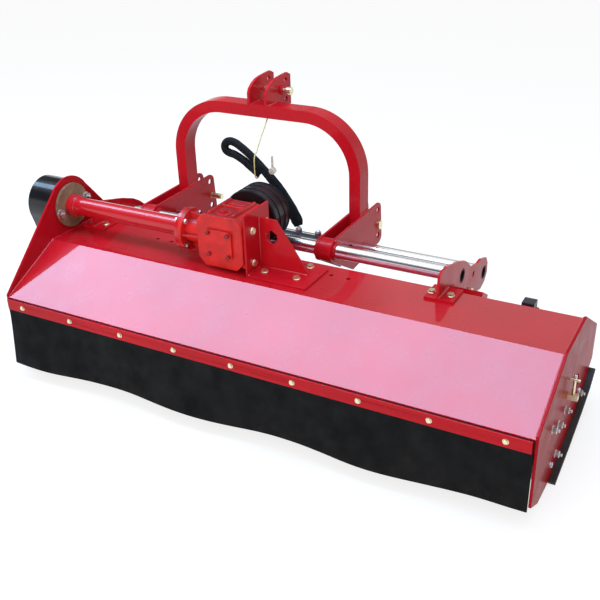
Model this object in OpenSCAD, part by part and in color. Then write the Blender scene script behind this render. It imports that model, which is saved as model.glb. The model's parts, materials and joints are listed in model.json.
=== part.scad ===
// Flail mower for a three-point linkage, with a hitch frame that slides sideways on two bars.
// The pieces are drawn in the deck's own frame: X runs across from the left side plate, Y runs forward from
// the rear lip, Z rises from the ground. The finished part is then set with its origin on the ground,
// under the middle of its outline.

/* [Deck] */
// Overall width over the two side plates
deck_w = 1770; // [1600:10:2000]
// Height of the rear edge above the ground
rear_edge_h = 270; // [262:1:282]
// Height of the flat top above the ground
top_h = 383; // [378:1:392]
// How far the rear slope reaches forward
slope_depth = 238; // [225:1:250]
// Depth of the flat top, front to back
top_depth = 217; // [210:1:230]
// How far the front slope reaches forward
front_depth = 191; // [185:1:205]
// How far the front slope drops
front_drop = 120; // [110:1:130]
// Height of the rear lip that holds the flap
rear_lip_h = 42; // [38:1:50]
// Height of the front lip
front_lip_h = 80; // [74:1:90]
// Thickness of the deck sheet
sheet_t = 4; // [3:0.5:6]
// Thickness of a side plate
side_t = 8; // [6:1:10]
// How far the side plates stand above the sheet
rim_h = 6; // [3:1:9]
// Radius of the ear on the left side plate
ear_r = 101; // [96:1:108]

/* [Flaps] */
// Thickness of the rubber flaps
flap_t = 6; // [4:0.5:8]
// Height of the lower edge of the rear flap above the ground
flap_bottom_h = 44; // [30:1:70]
// How far the rear flap swings out at its lower edge
flap_swing = 26; // [10:1:40]
// Height of the waves along the lower edge of the flap
flap_wave = 12; // [4:1:20]
// Length of one wave along the flap
flap_wave_len = 620; // [400:10:900]
// Thickness of the clamping strips
strip_t = 5; // [4:0.5:8]
// Height of the clamping strips
strip_h = 37; // [32:1:38]
// Number of bolts along a strip
strip_bolt_count = 9; // [5:1:13]
// Thread size of the strip bolts
strip_bolt_d = 8; // [6:1:10]

/* [Drive line] */
// Height of the drive shaft above the flat top
drive_rise = 89; // [87:1:100]
// Place of the drive shaft forward of the rear lip
drive_y = 350; // [345:1:355]
// Place of the input shaft from the left side plate
input_x = 655; // [640:1:700]
// Outer diameter of the drive tube
tube_d = 63; // [58:1:66]
// Wall of the drive tube
tube_wall = 5; // [3:0.5:7]
// Radius of the bolted flanges of the tube
flange_r = 68; // [67:1:72]
// Thickness of each flange
flange_t = 13; // [11:1:15]
// Diameter of the drive shaft
shaft_d = 35; // [30:1:38]
// Diameter of the splined input shaft
pto_d = 34.8; // [34:0.1:35.5]
// Width of the gearbox
box_w = 160; // [156:1:164]
// Height of the gearbox
box_h = 168; // [160:1:170]
// Depth of the gearbox
box_d = 152; // [148:1:170]
// Wall of the gearbox
box_wall = 8; // [6:0.5:9]
// Radius of the guard round the input shaft
guard_r = 97; // [85:1:100]
// Length of the guard round the input shaft
guard_len = 97; // [80:1:105]
// Wall of the guard
guard_wall = 4; // [3:0.5:6]
// Depth of the belt cover
cover_depth = 106; // [104:1:130]
// Radius of the belt cover round the drive pulley
cover_r = 88.5; // [86:0.5:95]
// Wall of the belt cover
cover_wall = 3; // [2:0.5:4]
// Outer radius of the drive pulley
drive_pulley_r = 70; // [62:1:74]
// Outer radius of the rotor pulley
rotor_pulley_r = 62; // [58:1:70]

/* [Rotor and roller] */
// Place of the rotor forward of the rear lip
rotor_y = 425; // [415:1:435]
// Height of the rotor above the ground
rotor_h = 186; // [182:1:200]
// Radius of the rotor tube
rotor_r = 57; // [50:1:58]
// Wall of the rotor tube
rotor_wall = 8; // [6:1:12]
// Diameter of the rotor's stub shafts
stub_d = 50; // [44:1:52]
// Radius at which the hammer pins sit
hammer_pin_r = 95; // [94:1:98]
// Length of a hammer below its pin
hammer_len = 58; // [50:1:60]
// Hammers in one row
hammers_per_row = 5; // [3:1:6]
// Place of the roller forward of the rear lip
roller_y = 208; // [196:1:212]
// Radius of the roller
roller_r = 70; // [62:1:72]
// Width of the skids
skid_w = 20; // [16:1:30]
// Thickness of the skids
skid_t = 8; // [6:1:12]

/* [Slide bars and hitch frame] */
// Diameter of the slide bars
bar_d = 48; // [45:1:50]
// Wall of the slide bars
bar_wall = 7; // [5:0.5:9]
// Place of the rear bar forward of the flat top's front edge
rear_bar_ahead = 133; // [128:1:140]
// Drop of the rear bar below the flat top
rear_bar_drop = 12; // [8:1:16]
// Place of the front bar forward of the flat top's front edge
front_bar_ahead = 359; // [352:1:366]
// Drop of the front bar below the flat top
front_bar_drop = 99; // [94:1:104]
// Place of the left bar bracket from the left side plate
left_bracket_x = 68; // [64:1:72]
// Place of the right bar bracket from the left side plate
right_bracket_x = 1355; // [1330:1:1400]
// Thickness of the bar brackets
bracket_t = 8; // [8:1:12]
// Distance between the two hitch plate pairs
hitch_span = 727; // [700:1:740]
// Place of the left hitch plate pair from the left side plate
hitch_x = 168; // [162:1:175]
// Thickness of a hitch plate
hitch_t = 8; // [7:0.5:10]
// Diameter of the lower link pins
lower_pin_d = 22; // [20:0.5:28]
// Diameter of the top link pin
top_pin_d = 19; // [19:0.5:25]
// Gap between the top link plates
clevis_gap = 58; // [52:1:64]
// Thickness of a top link plate
clevis_t = 11; // [8:1:14]
// Width of the arch tube across the mower
arch_w = 42; // [40:1:46]
// Depth of the arch tube, front to back
arch_d = 67; // [60:1:70]
// Wall of the arch tube
arch_wall = 5; // [3:0.5:8]
// Height of the arch above the flat top
arch_rise = 381; // [360:1:400]
// Outer bend radius of the arch
arch_bend_r = 214; // [195:1:235]
// Outer diameter of the cylinder barrel
barrel_d = 56; // [52:1:60]
// Diameter of the cylinder rod
rod_d = 30; // [25:1:32]

/* [Hidden] */
$fn = 64;

// Fits and small gaps
run_gap = 0.08;
seat_gap = 0.05;
hole_gap = 0.5;
soft_gap = 0.4;
overrun = 2;

// Proportions of a hex bolt, as shares of its thread size
head_share = 1.75;
head_h_share = 0.65;
nut_h_share = 0.8;
bolt_m10 = 10;
bolt_m12 = 12;

// Deck outline
top_front_y = slope_depth + top_depth;
front_y = top_front_y + front_depth;
front_edge_h = top_h - front_drop;
deck_path = [[0, rear_edge_h - rear_lip_h], [0, rear_edge_h], [slope_depth, top_h], [top_front_y, top_h],
    [front_y, front_edge_h], [front_y, front_edge_h - front_lip_h]];
inner_w = deck_w - 2 * side_t;

// Side plates and skids
side_rear_h = 57;
side_toe = [77, 14];
side_front_h = 150;
skid_heel = [186, 2];
skid_low = [337, 29];
skid_mid = [473, 62];
skid_high = [564, 93];
skid_tip = [617, 130];
skid_path = [skid_heel, skid_low, skid_mid, skid_high, skid_tip];
side_lift = 3;
ear_blend = 1;
loop_blend = 0.5;

// Drive axis and rotor axis, in the plane across the mower
drive_h = top_h + drive_rise;
drive_c = [drive_y, drive_h];
rotor_c = [rotor_y, rotor_h];
roller_c = [roller_y, roller_r];

// Drive tube and its bearing flange
tube_end_back = 142;
tube_end_x = input_x - tube_end_back;
collar_r = 39;
collar_len = 26;
bearing_flange_r = 77;
bearing_flange_t = 10;
bearing_hub_r = 44;
bearing_hub_len = 12;
bearing_r = 36;
bearing_w = 18;
bearing_bolt_r = 67;
bearing_bolt_angles = [8, 188];
flange_bolt_r = 57;
flange_bolt_count = 4;
flange_bolt_turn = 45;

// Gearbox
input_c = [input_x, drive_h];
box_back = 70;
box_rear_y = drive_y - box_back;
box_front_y = box_rear_y + box_d;
box_chamfer = 24;
box_shift = 21;
box_up = 6;
box_c = [input_x + box_shift, drive_h + box_up];
neck_r = 45;
neck_len = 54;
neck_flange_r = 52;
neck_flange_t = 10;
out_neck_r = 42;
side_flange_w = 118;
side_flange_h = 144;
side_bolt_y = 42;
side_bolt_z = 54;
side_screw_len = 20;
lid_w = 96;
lid_h = 95;
lid_t = 8;
lid_up = 2;
lid_c = [box_c[0], drive_h + lid_up];
lid_screw_x = 36;
lid_screw_z = 36;
lid_hole_r = 28;
lid_screw_d = 8;
screw_len = 14;
plug_d = 22;
plug_h = 14;
plug_back = 34;

// Gearbox bracket
mount_in = 119;
mount_x = input_x + mount_in;
mount_t = 7;
mount_back = 82;
mount_rear_y = drive_y - mount_back;
mount_d = 143;
mount_top = 205;
foot_w = 209;
foot_d = 153;
gusset_w = 168;
gusset_h = 164;
gusset_top = 60;
gusset_hole_x = 42;
gusset_hole_z = 105;
gusset_hole_r = 23;
foot_bolt_xs = [38, 152];
foot_bolt_ys = [50, 140];
spare_shares = [0.568, 0.601, 0.191, 0.224];
spare_back = 58;
spare_d = 14;

guard_notch = 6;

// Gears, pulleys and belts
crown_r = 48;
crown_inner_r = 24;
crown_back = 34;
gear_ratio = 3;
gear_gap = 0.5;
crown_teeth = 27;
tooth_slot = 3;
tooth_depth = 4;
shaft_step = 12;
spline_count = 6;
spline_slot = 8;
spline_depth = 3;
spline_len = 76;
pto_end_gap = 6;
pulley_gap = 18;
groove_count = 4;
groove_w = 13;
groove_depth = 10;
groove_land = 5;
belt_t = 9;
pulley_w = groove_count * groove_w + (groove_count + 1) * groove_land;
pulley_x = -pulley_gap - pulley_w;
rotor_cover_share = 0.92;

// Rotor, hammers and roller
rotor_end_gap = 36;
lug_t = 8;
lug_gap = 20;
lug_w = 30;
lug_blend = 1;
hammer_pin_d = 16;
hammer_t = 16;
hammer_eye_r = 13;
hammer_head_w = 58;
hammer_head_h = 22;
hammer_side_gap = 0.4;
row_angles = [45, 135, 225, 315];
row_offset_shares = [0, 0.5, 0.25, 0.75];
hammer_margin = 110;
rotor_bearing_r = 76;
rotor_bearing_t = 12;
rotor_hub_r = 44;
rotor_hub_len = 16;
rotor_bolt_r = 62;
rotor_bolt_angles = [-48, 132];
roller_stub_d = 35;
roller_block = 84;
roller_block_t = 20;
roller_end_gap = 2;
roller_bolt = 27;
roller_wall = 5;
shaft_hole_gap = 5;

// Slide bars, hitch plates and hitch frame
rear_bar = [top_front_y + rear_bar_ahead, top_h - rear_bar_drop];
front_bar = [top_front_y + front_bar_ahead, top_h - front_bar_drop];
cylinder_c = (rear_bar + front_bar) / 2;
bracket_back = 82;
bracket_y = top_front_y - bracket_back;
bracket_len = front_bar[0] - bracket_y;
bracket_fall = top_h - front_bar[1];
bracket_shares = [[0, 0], [0.03, 0.76], [0.07, 0.84], [0.15, 0.84], [0.4, 0.54], [0.53, 0.32], [0.6, 0.13],
    [0.67, -0.14], [0.74, -0.28], [0.84, -0.36], [0.91, -0.34], [1.05, -0.54], [1.09, -0.8], [1.09, -1.15],
    [1.04, -1.4], [0.95, -1.52], [0.84, -1.42], [0.68, -1.15], [0.19, 0]];
bracket_foot_w = 90;
bracket_foot_d = 92;
bracket_foot_t = 7;
bracket_foot_left = 36;
toe_len = 84;
toe_h = 22;
toe_near = 100;
toe_far = 165;
toe_screw_in = 30;
toe_screw_len = 14;
bracket_bolt_back = 44;
bracket_bolt_out = 25;
rod_stud_d = 20;
rod_nut_h = 10;
hitch_gap = arch_w;
pair_half = hitch_gap / 2 + hitch_t;
hitch_eye_r = 41;
lobe_r = 27;
lobe_ahead = 119;
lobe_up = 106;
pin_ahead = 127;
pin_up = 47;
low_hole_ahead = 122;
low_hole_up = 8;
corner_r = 26;
heel_back = 88;
heel_drop = 42;
heel_angle = 225;
liner_r = 31;
liner_out = 8;
bush_r = 39;
rod_hole_r = 21;
pin_end_len = 46;
pin_head_r = 17;
pin_step = 1;
pin_head_t = 8;
arch_back = 18;
arch_y = front_bar[0] - arch_back;
arch_top = top_h + arch_rise;
arch_foot = front_bar[1] + bush_r + overrun;
hitch_mid_x = hitch_x + hitch_span / 2;
clevis_shift = 13;
clevis_mid_x = hitch_mid_x - clevis_shift;
clevis_rear_shares = [[0, 0.465], [0.047, 0.64], [0.163, 0.802], [0.314, 0.919], [0.494, 0.965],
    [0.686, 0.988]];
clevis_top_h = 86;
clevis_front = 105;
clevis_top_in = 20;
clevis_low = 30;
clevis_hole_in = 35;
clevis_hole_up = 61;
clevis_hole_low = 6;
clevis_pin_in = 65;
clevis_pin_up = 33;
clevis_boss_r = 16;
clevis_boss_t = 8;
top_pin_head_r = 14;
top_pin_out = 34;
barrel_in = 47;
barrel_x = hitch_x + barrel_in;
barrel_bore_d = 44;
barrel_cap = 20;
piston_x = 545;
piston_w = 30;
fitting_backs = [142, 66];
fitting_xs = [for (back = fitting_backs) plate_starts(1)[0] - back];
fitting_hex = 26;
fitting_h = 16;
fitting_ball_r = 9;

// Hose bundle and the cord that holds it, as points chosen by hand
hose_w = 28;
hose_d = 24;
hose_sides = 10;
hose_route = [[724, 701.5, 382.4], [714, 704, 403], [702, 705, 424], [689, 706, 446], [674, 706, 468],
    [659, 706, 490], [643, 706, 511], [625, 706, 531], [606, 706, 550], [586, 706, 569], [566, 706, 588],
    [545, 706, 606], [523, 706, 623], [500, 706, 638], [478, 706, 650], [457, 706, 654], [440, 706, 647],
    [432, 706, 632], [437, 706, 618], [452, 706, 611], [472, 706, 607], [491, 706, 599], [512, 706, 588],
    [532, 706, 573.5], [552.5, 706, 559.5], [569, 706, 544]];
coupler_place = [624.1, 706, 568.7];
coupler_r = 12;
coupler_len = 34;
coupler_tail_r = 4;
coupler_tail = 52;
cord_r = 2.5;
cord_low_place = [558, 721, 548];
cord_top_off = 14.5;
cord_top_ahead = 24;
cord_drop = 1.5;
hose_home = [866, 701, 327.5];
hose_shift = [plate_starts(1)[0], cylinder_c[0], cylinder_c[1]] - hose_home;
coupler_c = coupler_place + hose_shift;
cord_low = cord_low_place + hose_shift;
cord_high = [hitch_mid_x + cord_top_off, arch_y + cord_top_ahead, arch_top - arch_w - cord_drop];

// Parking stand and small hardware on the plates
right_stand_in = 212;
left_stand_x = 36;
stand_xs = [left_stand_x, deck_w - right_stand_in];
stand_w = 40;
stand_wall = 4;
stand_gap = 0.3;
stand_top = 282;
stand_foot = 0;
socket_wall = 6;
socket_h = 76;
stand_cap_t = 8;
screw_d = 10;
screw_reach = 40;
screw_bar_len = 46;
screw_bar_d = 8;
height_bar_len = 27;
height_screw_offset = [-113, 28];
height_screw_c = rotor_c + height_screw_offset;
height_screw_h = 54;
height_base_w = 16;
height_base_t = 28;
right_bolt_offsets = [[56.3, -63.8], [-125.9, -11], [-198.9, -12.9], [-271.9, 18.1]];

// Flaps
strip_end = 78;
flap_columns = 45;
flap_rows = 6;
flap_lean_share = 0.65;
flap_phase = 100;
flap_end_gap = 4;
flap_pull = 20;
front_flap_bottom_h = 80;
front_flap_swing = 6;
front_flap_wave = 5;
flap_edge_drop = 3;
flap_curve = 1.3;
flap_reach = max([for (i = [0 : flap_columns]) flap_bulge(flap_x(i, 0), flap_swing, flap_wave)]);

// Finished part: its origin lies on the ground under the middle of its outline
mid_x = (deck_w + max(skid_w, height_base_t) - cover_depth) / 2;
mid_y = (arch_y + arch_d + clevis_front - flap_t - flap_reach) / 2;

// Strip bolts spread evenly between the two end bolts
function strip_bolt_x(i) = strip_end + (deck_w - 2 * strip_end) * i / (strip_bolt_count - 1);

// Points of an open path moved sideways by a distance, to the right of its direction for positive values
function turned(d) = [d[1], -d[0]];
function step_dir(path, i) = (path[i + 1] - path[i]) / norm(path[i + 1] - path[i]);
function corner_shift(a, b) = (a + b) / (1 + a * b);
function inset(path, t) = let (last = len(path) - 1)
    [for (i = [0 : last]) let (
        before = turned(step_dir(path, max(i - 1, 0))),
        after = turned(step_dir(path, min(i, last - 1))))
        path[i] + t * corner_shift(before, after)];
function reversed(list) = [for (i = [len(list) - 1 : -1 : 0]) list[i]];

// Point where a line from p touches a circle, on one side or the other
function touch_point(p, c, r, side) = let (
    spread = acos(r / norm(p - c)),
    base = atan2(p[1] - c[1], p[0] - c[0]))
    c + r * [cos(base + side * spread), sin(base + side * spread)];

// Slabs, bars and bolts along the axes
module slab_x(x, t) {
    translate([x, 0, 0])
        rotate([90, 0, 90])
            linear_extrude(t)
                children();
}

module slab_y(y, t) {
    translate([0, y + t, 0])
        rotate([90, 0, 0])
            linear_extrude(t)
                children();
}

module bar_x(x, c, r, length) {
    translate([x, c[0], c[1]])
        rotate([0, 90, 0])
            cylinder(r = r, h = length);
}

module bar_y(y, c, r, length) {
    translate([c[0], y, c[1]])
        rotate([-90, 0, 0])
            cylinder(r = r, h = length);
}

module bar_z(z, c, r, length) {
    translate([c[0], c[1], z])
        cylinder(r = r, h = length);
}

module rod_between(a, b, r) {
    along = b - a;
    length = norm(along);
    translate(a)
        rotate([0, acos(along[2] / length), atan2(along[1], along[0])])
            cylinder(r = r, h = length);
}

// Hex bolt: the head sits on the plane z = 0, the shank runs down through the grip to its nut
module hex_bolt(d, grip) {
    nut_h = d * nut_h_share;
    cylinder(d = d * head_share, h = d * head_h_share, $fn = 6);
    translate([0, 0, -grip - nut_h])
        cylinder(d = d, h = grip + nut_h + d * head_h_share / 2);
    translate([0, 0, -grip - nut_h])
        cylinder(d = d * head_share, h = nut_h, $fn = 6);
}

module hex_screw(d, length) {
    cylinder(d = d * head_share, h = d * head_h_share, $fn = 6);
    translate([0, 0, -length])
        cylinder(d = d, h = length + d * head_h_share / 2);
}

module bolt_left(x, c, d, grip) {
    translate([x, c[0], c[1]])
        rotate([0, -90, 0])
            hex_bolt(d, grip);
}

module bolt_right(x, c, d, grip) {
    translate([x, c[0], c[1]])
        rotate([0, 90, 0])
            hex_bolt(d, grip);
}

module bolt_up(z, c, d, grip) {
    translate([c[0], c[1], z])
        hex_bolt(d, grip);
}

// Two discs and a slab along the straight lines that touch both, its corners just inside the discs
module loop_solid(x, t, c1, r1, c2, r2) {
    span = c2 - c1;
    base = atan2(span[1], span[0]);
    spread = acos((r1 - r2) / norm(span));
    ends = [base - spread, base + spread];
    near1 = r1 - loop_blend;
    near2 = r2 - loop_blend;
    bar_x(x, c1, r1, t);
    bar_x(x, c2, r2, t);
    slab_x(x, t)
        polygon([
            c1 + near1 * [cos(ends[0]), sin(ends[0])],
            c2 + near2 * [cos(ends[0]), sin(ends[0])],
            c2 + near2 * [cos(ends[1]), sin(ends[1])],
            c1 + near1 * [cos(ends[1]), sin(ends[1])]]);
}

// Places of repeated bolts
function on_circle(c, r, angle) = c + r * [cos(angle), sin(angle)];
function flange_bolt(k) = on_circle(drive_c, flange_bolt_r, 360 * k / flange_bolt_count + flange_bolt_turn);
function foot_bolts() = [for (x = foot_bolt_xs, y = foot_bolt_ys) [mount_x + x, mount_rear_y + y]];
function bracket_bolts_of(x) = [for (side = [-1, 1])
    [x + bracket_t / 2 + side * (bracket_t / 2 + bracket_bolt_out), top_front_y - bracket_bolt_back]];
function deck_bolts() = concat(
    foot_bolts(), bracket_bolts_of(left_bracket_x), bracket_bolts_of(right_bracket_x));
function side_bolts() = [for (sy = [-1, 1], sz = [-1, 1]) drive_c + [sy * side_bolt_y, sz * side_bolt_z]];
function lid_screws() = [for (sx = [-1, 1], sz = [-1, 1])
    lid_c + [sx * lid_screw_x, sz * lid_screw_z]];
function right_bolts() = [for (offset = right_bolt_offsets) rotor_c + offset];
function roller_bolts() = [for (s = [-1, 1]) roller_c + [s * roller_bolt, 0]];
function hammer_x(row, i) = hammer_margin + (deck_w - 2 * hammer_margin)
    * (i + row_offset_shares[row]) / (hammers_per_row - 1 + max(row_offset_shares));
function hammer_pin(row) = on_circle(rotor_c, hammer_pin_r, row_angles[row]);

// Deck
module deck_shell() {
    color("crimson")
        difference() {
            slab_x(side_t, inner_w)
                polygon(concat(deck_path, reversed(inset(deck_path, sheet_t))));
            for (i = [0 : strip_bolt_count - 1]) {
                bar_y(-overrun, [strip_bolt_x(i), rear_strip_h()], strip_bolt_d / 2 + hole_gap,
                    sheet_t + 2 * overrun);
                bar_y(front_y - sheet_t - overrun, [strip_bolt_x(i), front_strip_h()],
                    strip_bolt_d / 2 + hole_gap, sheet_t + 2 * overrun);
            }
            for (c = deck_bolts())
                bar_z(top_h - sheet_t - overrun, c, bolt_m12 / 2 + hole_gap, sheet_t + 2 * overrun);
            for (share = spare_shares)
                bar_z(top_h - sheet_t - overrun, [share * deck_w, top_front_y - spare_back], spare_d / 2,
                    sheet_t + 2 * overrun);
        }
}

function rear_strip_h() = rear_edge_h - rear_lip_h / 2;
function front_strip_h() = front_edge_h - front_lip_h / 2;
function side_rear_top() = [0, rear_edge_h + rim_h];
function side_front_top() = [front_y + rim_h, front_edge_h + rim_h];
function side_lower() = concat(
    [[front_y + rim_h, side_front_h]],
    reversed(inset(skid_path, -side_lift)),
    [side_toe, [0, side_rear_h]]);

module side_holes(x) {
    for (c = roller_bolts())
        bar_x(x - overrun, c, bolt_m10 / 2 + hole_gap, side_t + 2 * overrun);
    for (a = rotor_bolt_angles)
        bar_x(x - overrun, on_circle(rotor_c, rotor_bolt_r, a), bolt_m10 / 2 + hole_gap, side_t + 2 * overrun);
    bar_x(x - overrun, rotor_c, stub_d / 2 + shaft_hole_gap, side_t + 2 * overrun);
}

module left_side_plate() {
    rear = side_rear_top();
    front = side_front_top();
    near = ear_r - ear_blend;
    color("crimson")
        difference() {
            union() {
                slab_x(0, side_t)
                    polygon(concat(
                        [rear, touch_point(rear, drive_c, near, -1)],
                        [touch_point(front, drive_c, near, 1), front],
                        side_lower()));
                bar_x(0, drive_c, ear_r, side_t);
            }
            side_holes(0);
            bar_x(-overrun, drive_c, bearing_hub_r + seat_gap, side_t + 2 * overrun);
            for (a = bearing_bolt_angles)
                bar_x(-overrun, on_circle(drive_c, bearing_bolt_r, a), bolt_m12 / 2 + hole_gap,
                    side_t + 2 * overrun);
        }
}

module right_side_plate() {
    x = deck_w - side_t;
    color("crimson")
        difference() {
            slab_x(x, side_t)
                polygon(concat(
                    [side_rear_top(), [slope_depth, top_h + rim_h], [top_front_y, top_h + rim_h],
                        side_front_top()],
                    side_lower()));
            side_holes(x);
            for (c = right_bolts())
                bar_x(x - overrun, c, bolt_m10 / 2 + hole_gap, side_t + 2 * overrun);
        }
}

// Flaps hang flat behind their strip, then swing out in slack waves towards the lower edge

function flap_grow(j) = j < 2 ? 0 : pow((j - 1) / (flap_rows - 1), flap_curve);
function flap_x(i, j) = side_t + flap_end_gap + (inner_w - 2 * flap_end_gap) * i / flap_columns
    + flap_pull * flap_grow(j) * (1 - i / flap_columns);
function flap_bulge(x, swing, wave) = swing * (1 - flap_lean_share * x / deck_w)
    + wave * cos(360 * (x - flap_phase) / flap_wave_len);
function flap_z(j, top, held, bottom) = j == 0 ? top : held + (bottom - held) * (j - 1) / (flap_rows - 1);
function flap_side(face_y, out, top, held, bottom, swing, wave) = [
    for (j = [0 : flap_rows], i = [0 : flap_columns])
        [flap_x(i, j), face_y + out * flap_grow(j) * flap_bulge(flap_x(i, 0), swing, wave),
            flap_z(j, top, held, bottom)]];

module flap_sheet(face_y, out, top, held, bottom, swing, wave) {
    across = flap_columns + 1;
    count = across * (flap_rows + 1);
    outer = flap_side(face_y, out, top, held, bottom, swing, wave);
    inner = flap_side(face_y - out * flap_t, out, top, held, bottom, swing, wave);
    quads = concat(
        [for (j = [0 : flap_rows - 1], i = [0 : flap_columns - 1])
            let (a = j * across + i) [a, a + 1, a + across + 1, a + across]],
        [for (j = [0 : flap_rows - 1], i = [0 : flap_columns - 1])
            let (a = count + j * across + i) [a, a + across, a + across + 1, a + 1]],
        [for (i = [0 : flap_columns - 1]) [i, count + i, count + i + 1, i + 1]],
        [for (i = [0 : flap_columns - 1]) let (a = flap_rows * across + i)
            [a, a + 1, count + a + 1, count + a]],
        [for (j = [0 : flap_rows - 1]) let (a = j * across)
            [a, a + across, count + a + across, count + a]],
        [for (j = [0 : flap_rows - 1]) let (a = j * across + flap_columns)
            [a, count + a, count + a + across, a + across]]);
    triangles = [for (q = quads, k = [0, 1]) k == 0 ? [q[0], q[1], q[2]] : [q[0], q[2], q[3]]];
    faces = out < 0 ? triangles : [for (t = triangles) reversed(t)];
    polyhedron(points = concat(outer, inner), faces = faces);
}

module rear_flap() {
    color([0.1, 0.1, 0.1])
        difference() {
            flap_sheet(-flap_t, -1, rear_edge_h - flap_edge_drop, rear_edge_h - rear_lip_h, flap_bottom_h,
                flap_swing, flap_wave);
            for (i = [0 : strip_bolt_count - 1])
                bar_y(-flap_t - overrun, [strip_bolt_x(i), rear_strip_h()], strip_bolt_d / 2 + hole_gap,
                    flap_t + 2 * overrun);
        }
}

module front_flap() {
    y = front_y - sheet_t - flap_t;
    color([0.1, 0.1, 0.1])
        difference() {
            flap_sheet(y, -1, front_edge_h - flap_edge_drop - sheet_t, front_edge_h - front_lip_h,
                front_flap_bottom_h, front_flap_swing, front_flap_wave);
            for (i = [0 : strip_bolt_count - 1])
                bar_y(y - overrun, [strip_bolt_x(i), front_strip_h()], strip_bolt_d / 2 + hole_gap,
                    flap_t + 2 * overrun);
        }
}

module strip_bar(y, z) {
    difference() {
        translate([side_t + flap_end_gap, y, z - strip_h / 2])
            cube([inner_w - 2 * flap_end_gap, strip_t, strip_h]);
        for (i = [0 : strip_bolt_count - 1])
            bar_y(y - overrun, [strip_bolt_x(i), z], strip_bolt_d / 2 + hole_gap, strip_t + 2 * overrun);
    }
}

module flap_strips() {
    color("crimson") {
        strip_bar(-flap_t - strip_t, rear_strip_h());
        strip_bar(front_y - sheet_t - flap_t - strip_t, front_strip_h());
    }
}

module strip_bolts() {
    grip = strip_t + flap_t + sheet_t;
    color("gold")
        for (i = [0 : strip_bolt_count - 1]) {
            translate([strip_bolt_x(i), -flap_t - strip_t, rear_strip_h()])
                rotate([90, 0, 0])
                    hex_bolt(strip_bolt_d, grip);
            translate([strip_bolt_x(i), front_y, front_strip_h()])
                rotate([-90, 0, 0])
                    hex_bolt(strip_bolt_d, grip);
        }
}

// Bar brackets stand on the flat top and reach forward to hold both bars
module bar_bracket(x) {
    outline = [for (s = bracket_shares) [bracket_y + s[0] * bracket_len, top_h + s[1] * bracket_fall]];
    difference() {
        union() {
            slab_x(x, bracket_t)
                polygon(outline);
            translate([x - bracket_foot_left, bracket_y, top_h])
                cube([bracket_foot_w, bracket_foot_d - overrun, bracket_foot_t]);
        }
        bar_x(x - overrun, rear_bar, bar_d / 2 + seat_gap, bracket_t + 2 * overrun);
        bar_x(x - overrun, front_bar, bar_d / 2 + seat_gap, bracket_t + 2 * overrun);
        bar_x(x - overrun, cylinder_c, rod_stud_d / 2 + hole_gap, bracket_t + 2 * overrun);
        for (c = bracket_bolts_of(x))
            bar_z(top_h - overrun, c, bolt_m12 / 2 + hole_gap, bracket_foot_t + 2 * overrun);
    }
}

module left_bar_bracket() {
    color("crimson")
        bar_bracket(left_bracket_x);
}

// The right bracket also rests on the front slope, on a toe beside its plate
function slope_dir() = step_dir(deck_path, 3);
function slope_point(along, up) = deck_path[3] + along * slope_dir() - up * turned(slope_dir());
function toe_mid() = slope_point((toe_near + toe_far) / 2, toe_h);

module toe_screw_frame() {
    translate([right_bracket_x + bracket_t + toe_screw_in, toe_mid()[0], toe_mid()[1]])
        rotate([atan2(slope_dir()[1], slope_dir()[0]), 0, 0])
            children();
}

module right_bar_bracket() {
    color("crimson")
        difference() {
            union() {
                bar_bracket(right_bracket_x);
                slab_x(right_bracket_x + bracket_t / 2, toe_len)
                    polygon([slope_point(toe_near, 0), slope_point(toe_far, 0), slope_point(toe_far, toe_h),
                        slope_point(toe_near, toe_h)]);
            }
            toe_screw_frame()
                translate([0, 0, -toe_screw_len - overrun])
                    cylinder(d = bolt_m12 + 2 * hole_gap, h = toe_screw_len + 2 * overrun);
        }
}

module bracket_bolts() {
    color("gold") {
        for (x = [left_bracket_x, right_bracket_x], c = bracket_bolts_of(x))
            bolt_up(top_h + bracket_foot_t, c, bolt_m12, bracket_foot_t + sheet_t);
        toe_screw_frame()
            hex_screw(bolt_m12, toe_screw_len);
    }
}

module slide_bar(c) {
    length = right_bracket_x + bracket_t - left_bracket_x;
    difference() {
        bar_x(left_bracket_x, c, bar_d / 2, length);
        bar_x(left_bracket_x - overrun, c, bar_d / 2 - bar_wall, length + 2 * overrun);
    }
}

module rear_bar() {
    color("silver")
        slide_bar(rear_bar);
}

module front_bar() {
    color("silver")
        slide_bar(front_bar);
}

// Gearbox
module chamfered(w, h, cut) {
    polygon([
        [-w / 2 + cut, -h / 2], [w / 2 - cut, -h / 2], [w / 2, -h / 2 + cut], [w / 2, h / 2 - cut],
        [w / 2 - cut, h / 2], [-w / 2 + cut, h / 2], [-w / 2, h / 2 - cut], [-w / 2, -h / 2 + cut]]);
}

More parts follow.
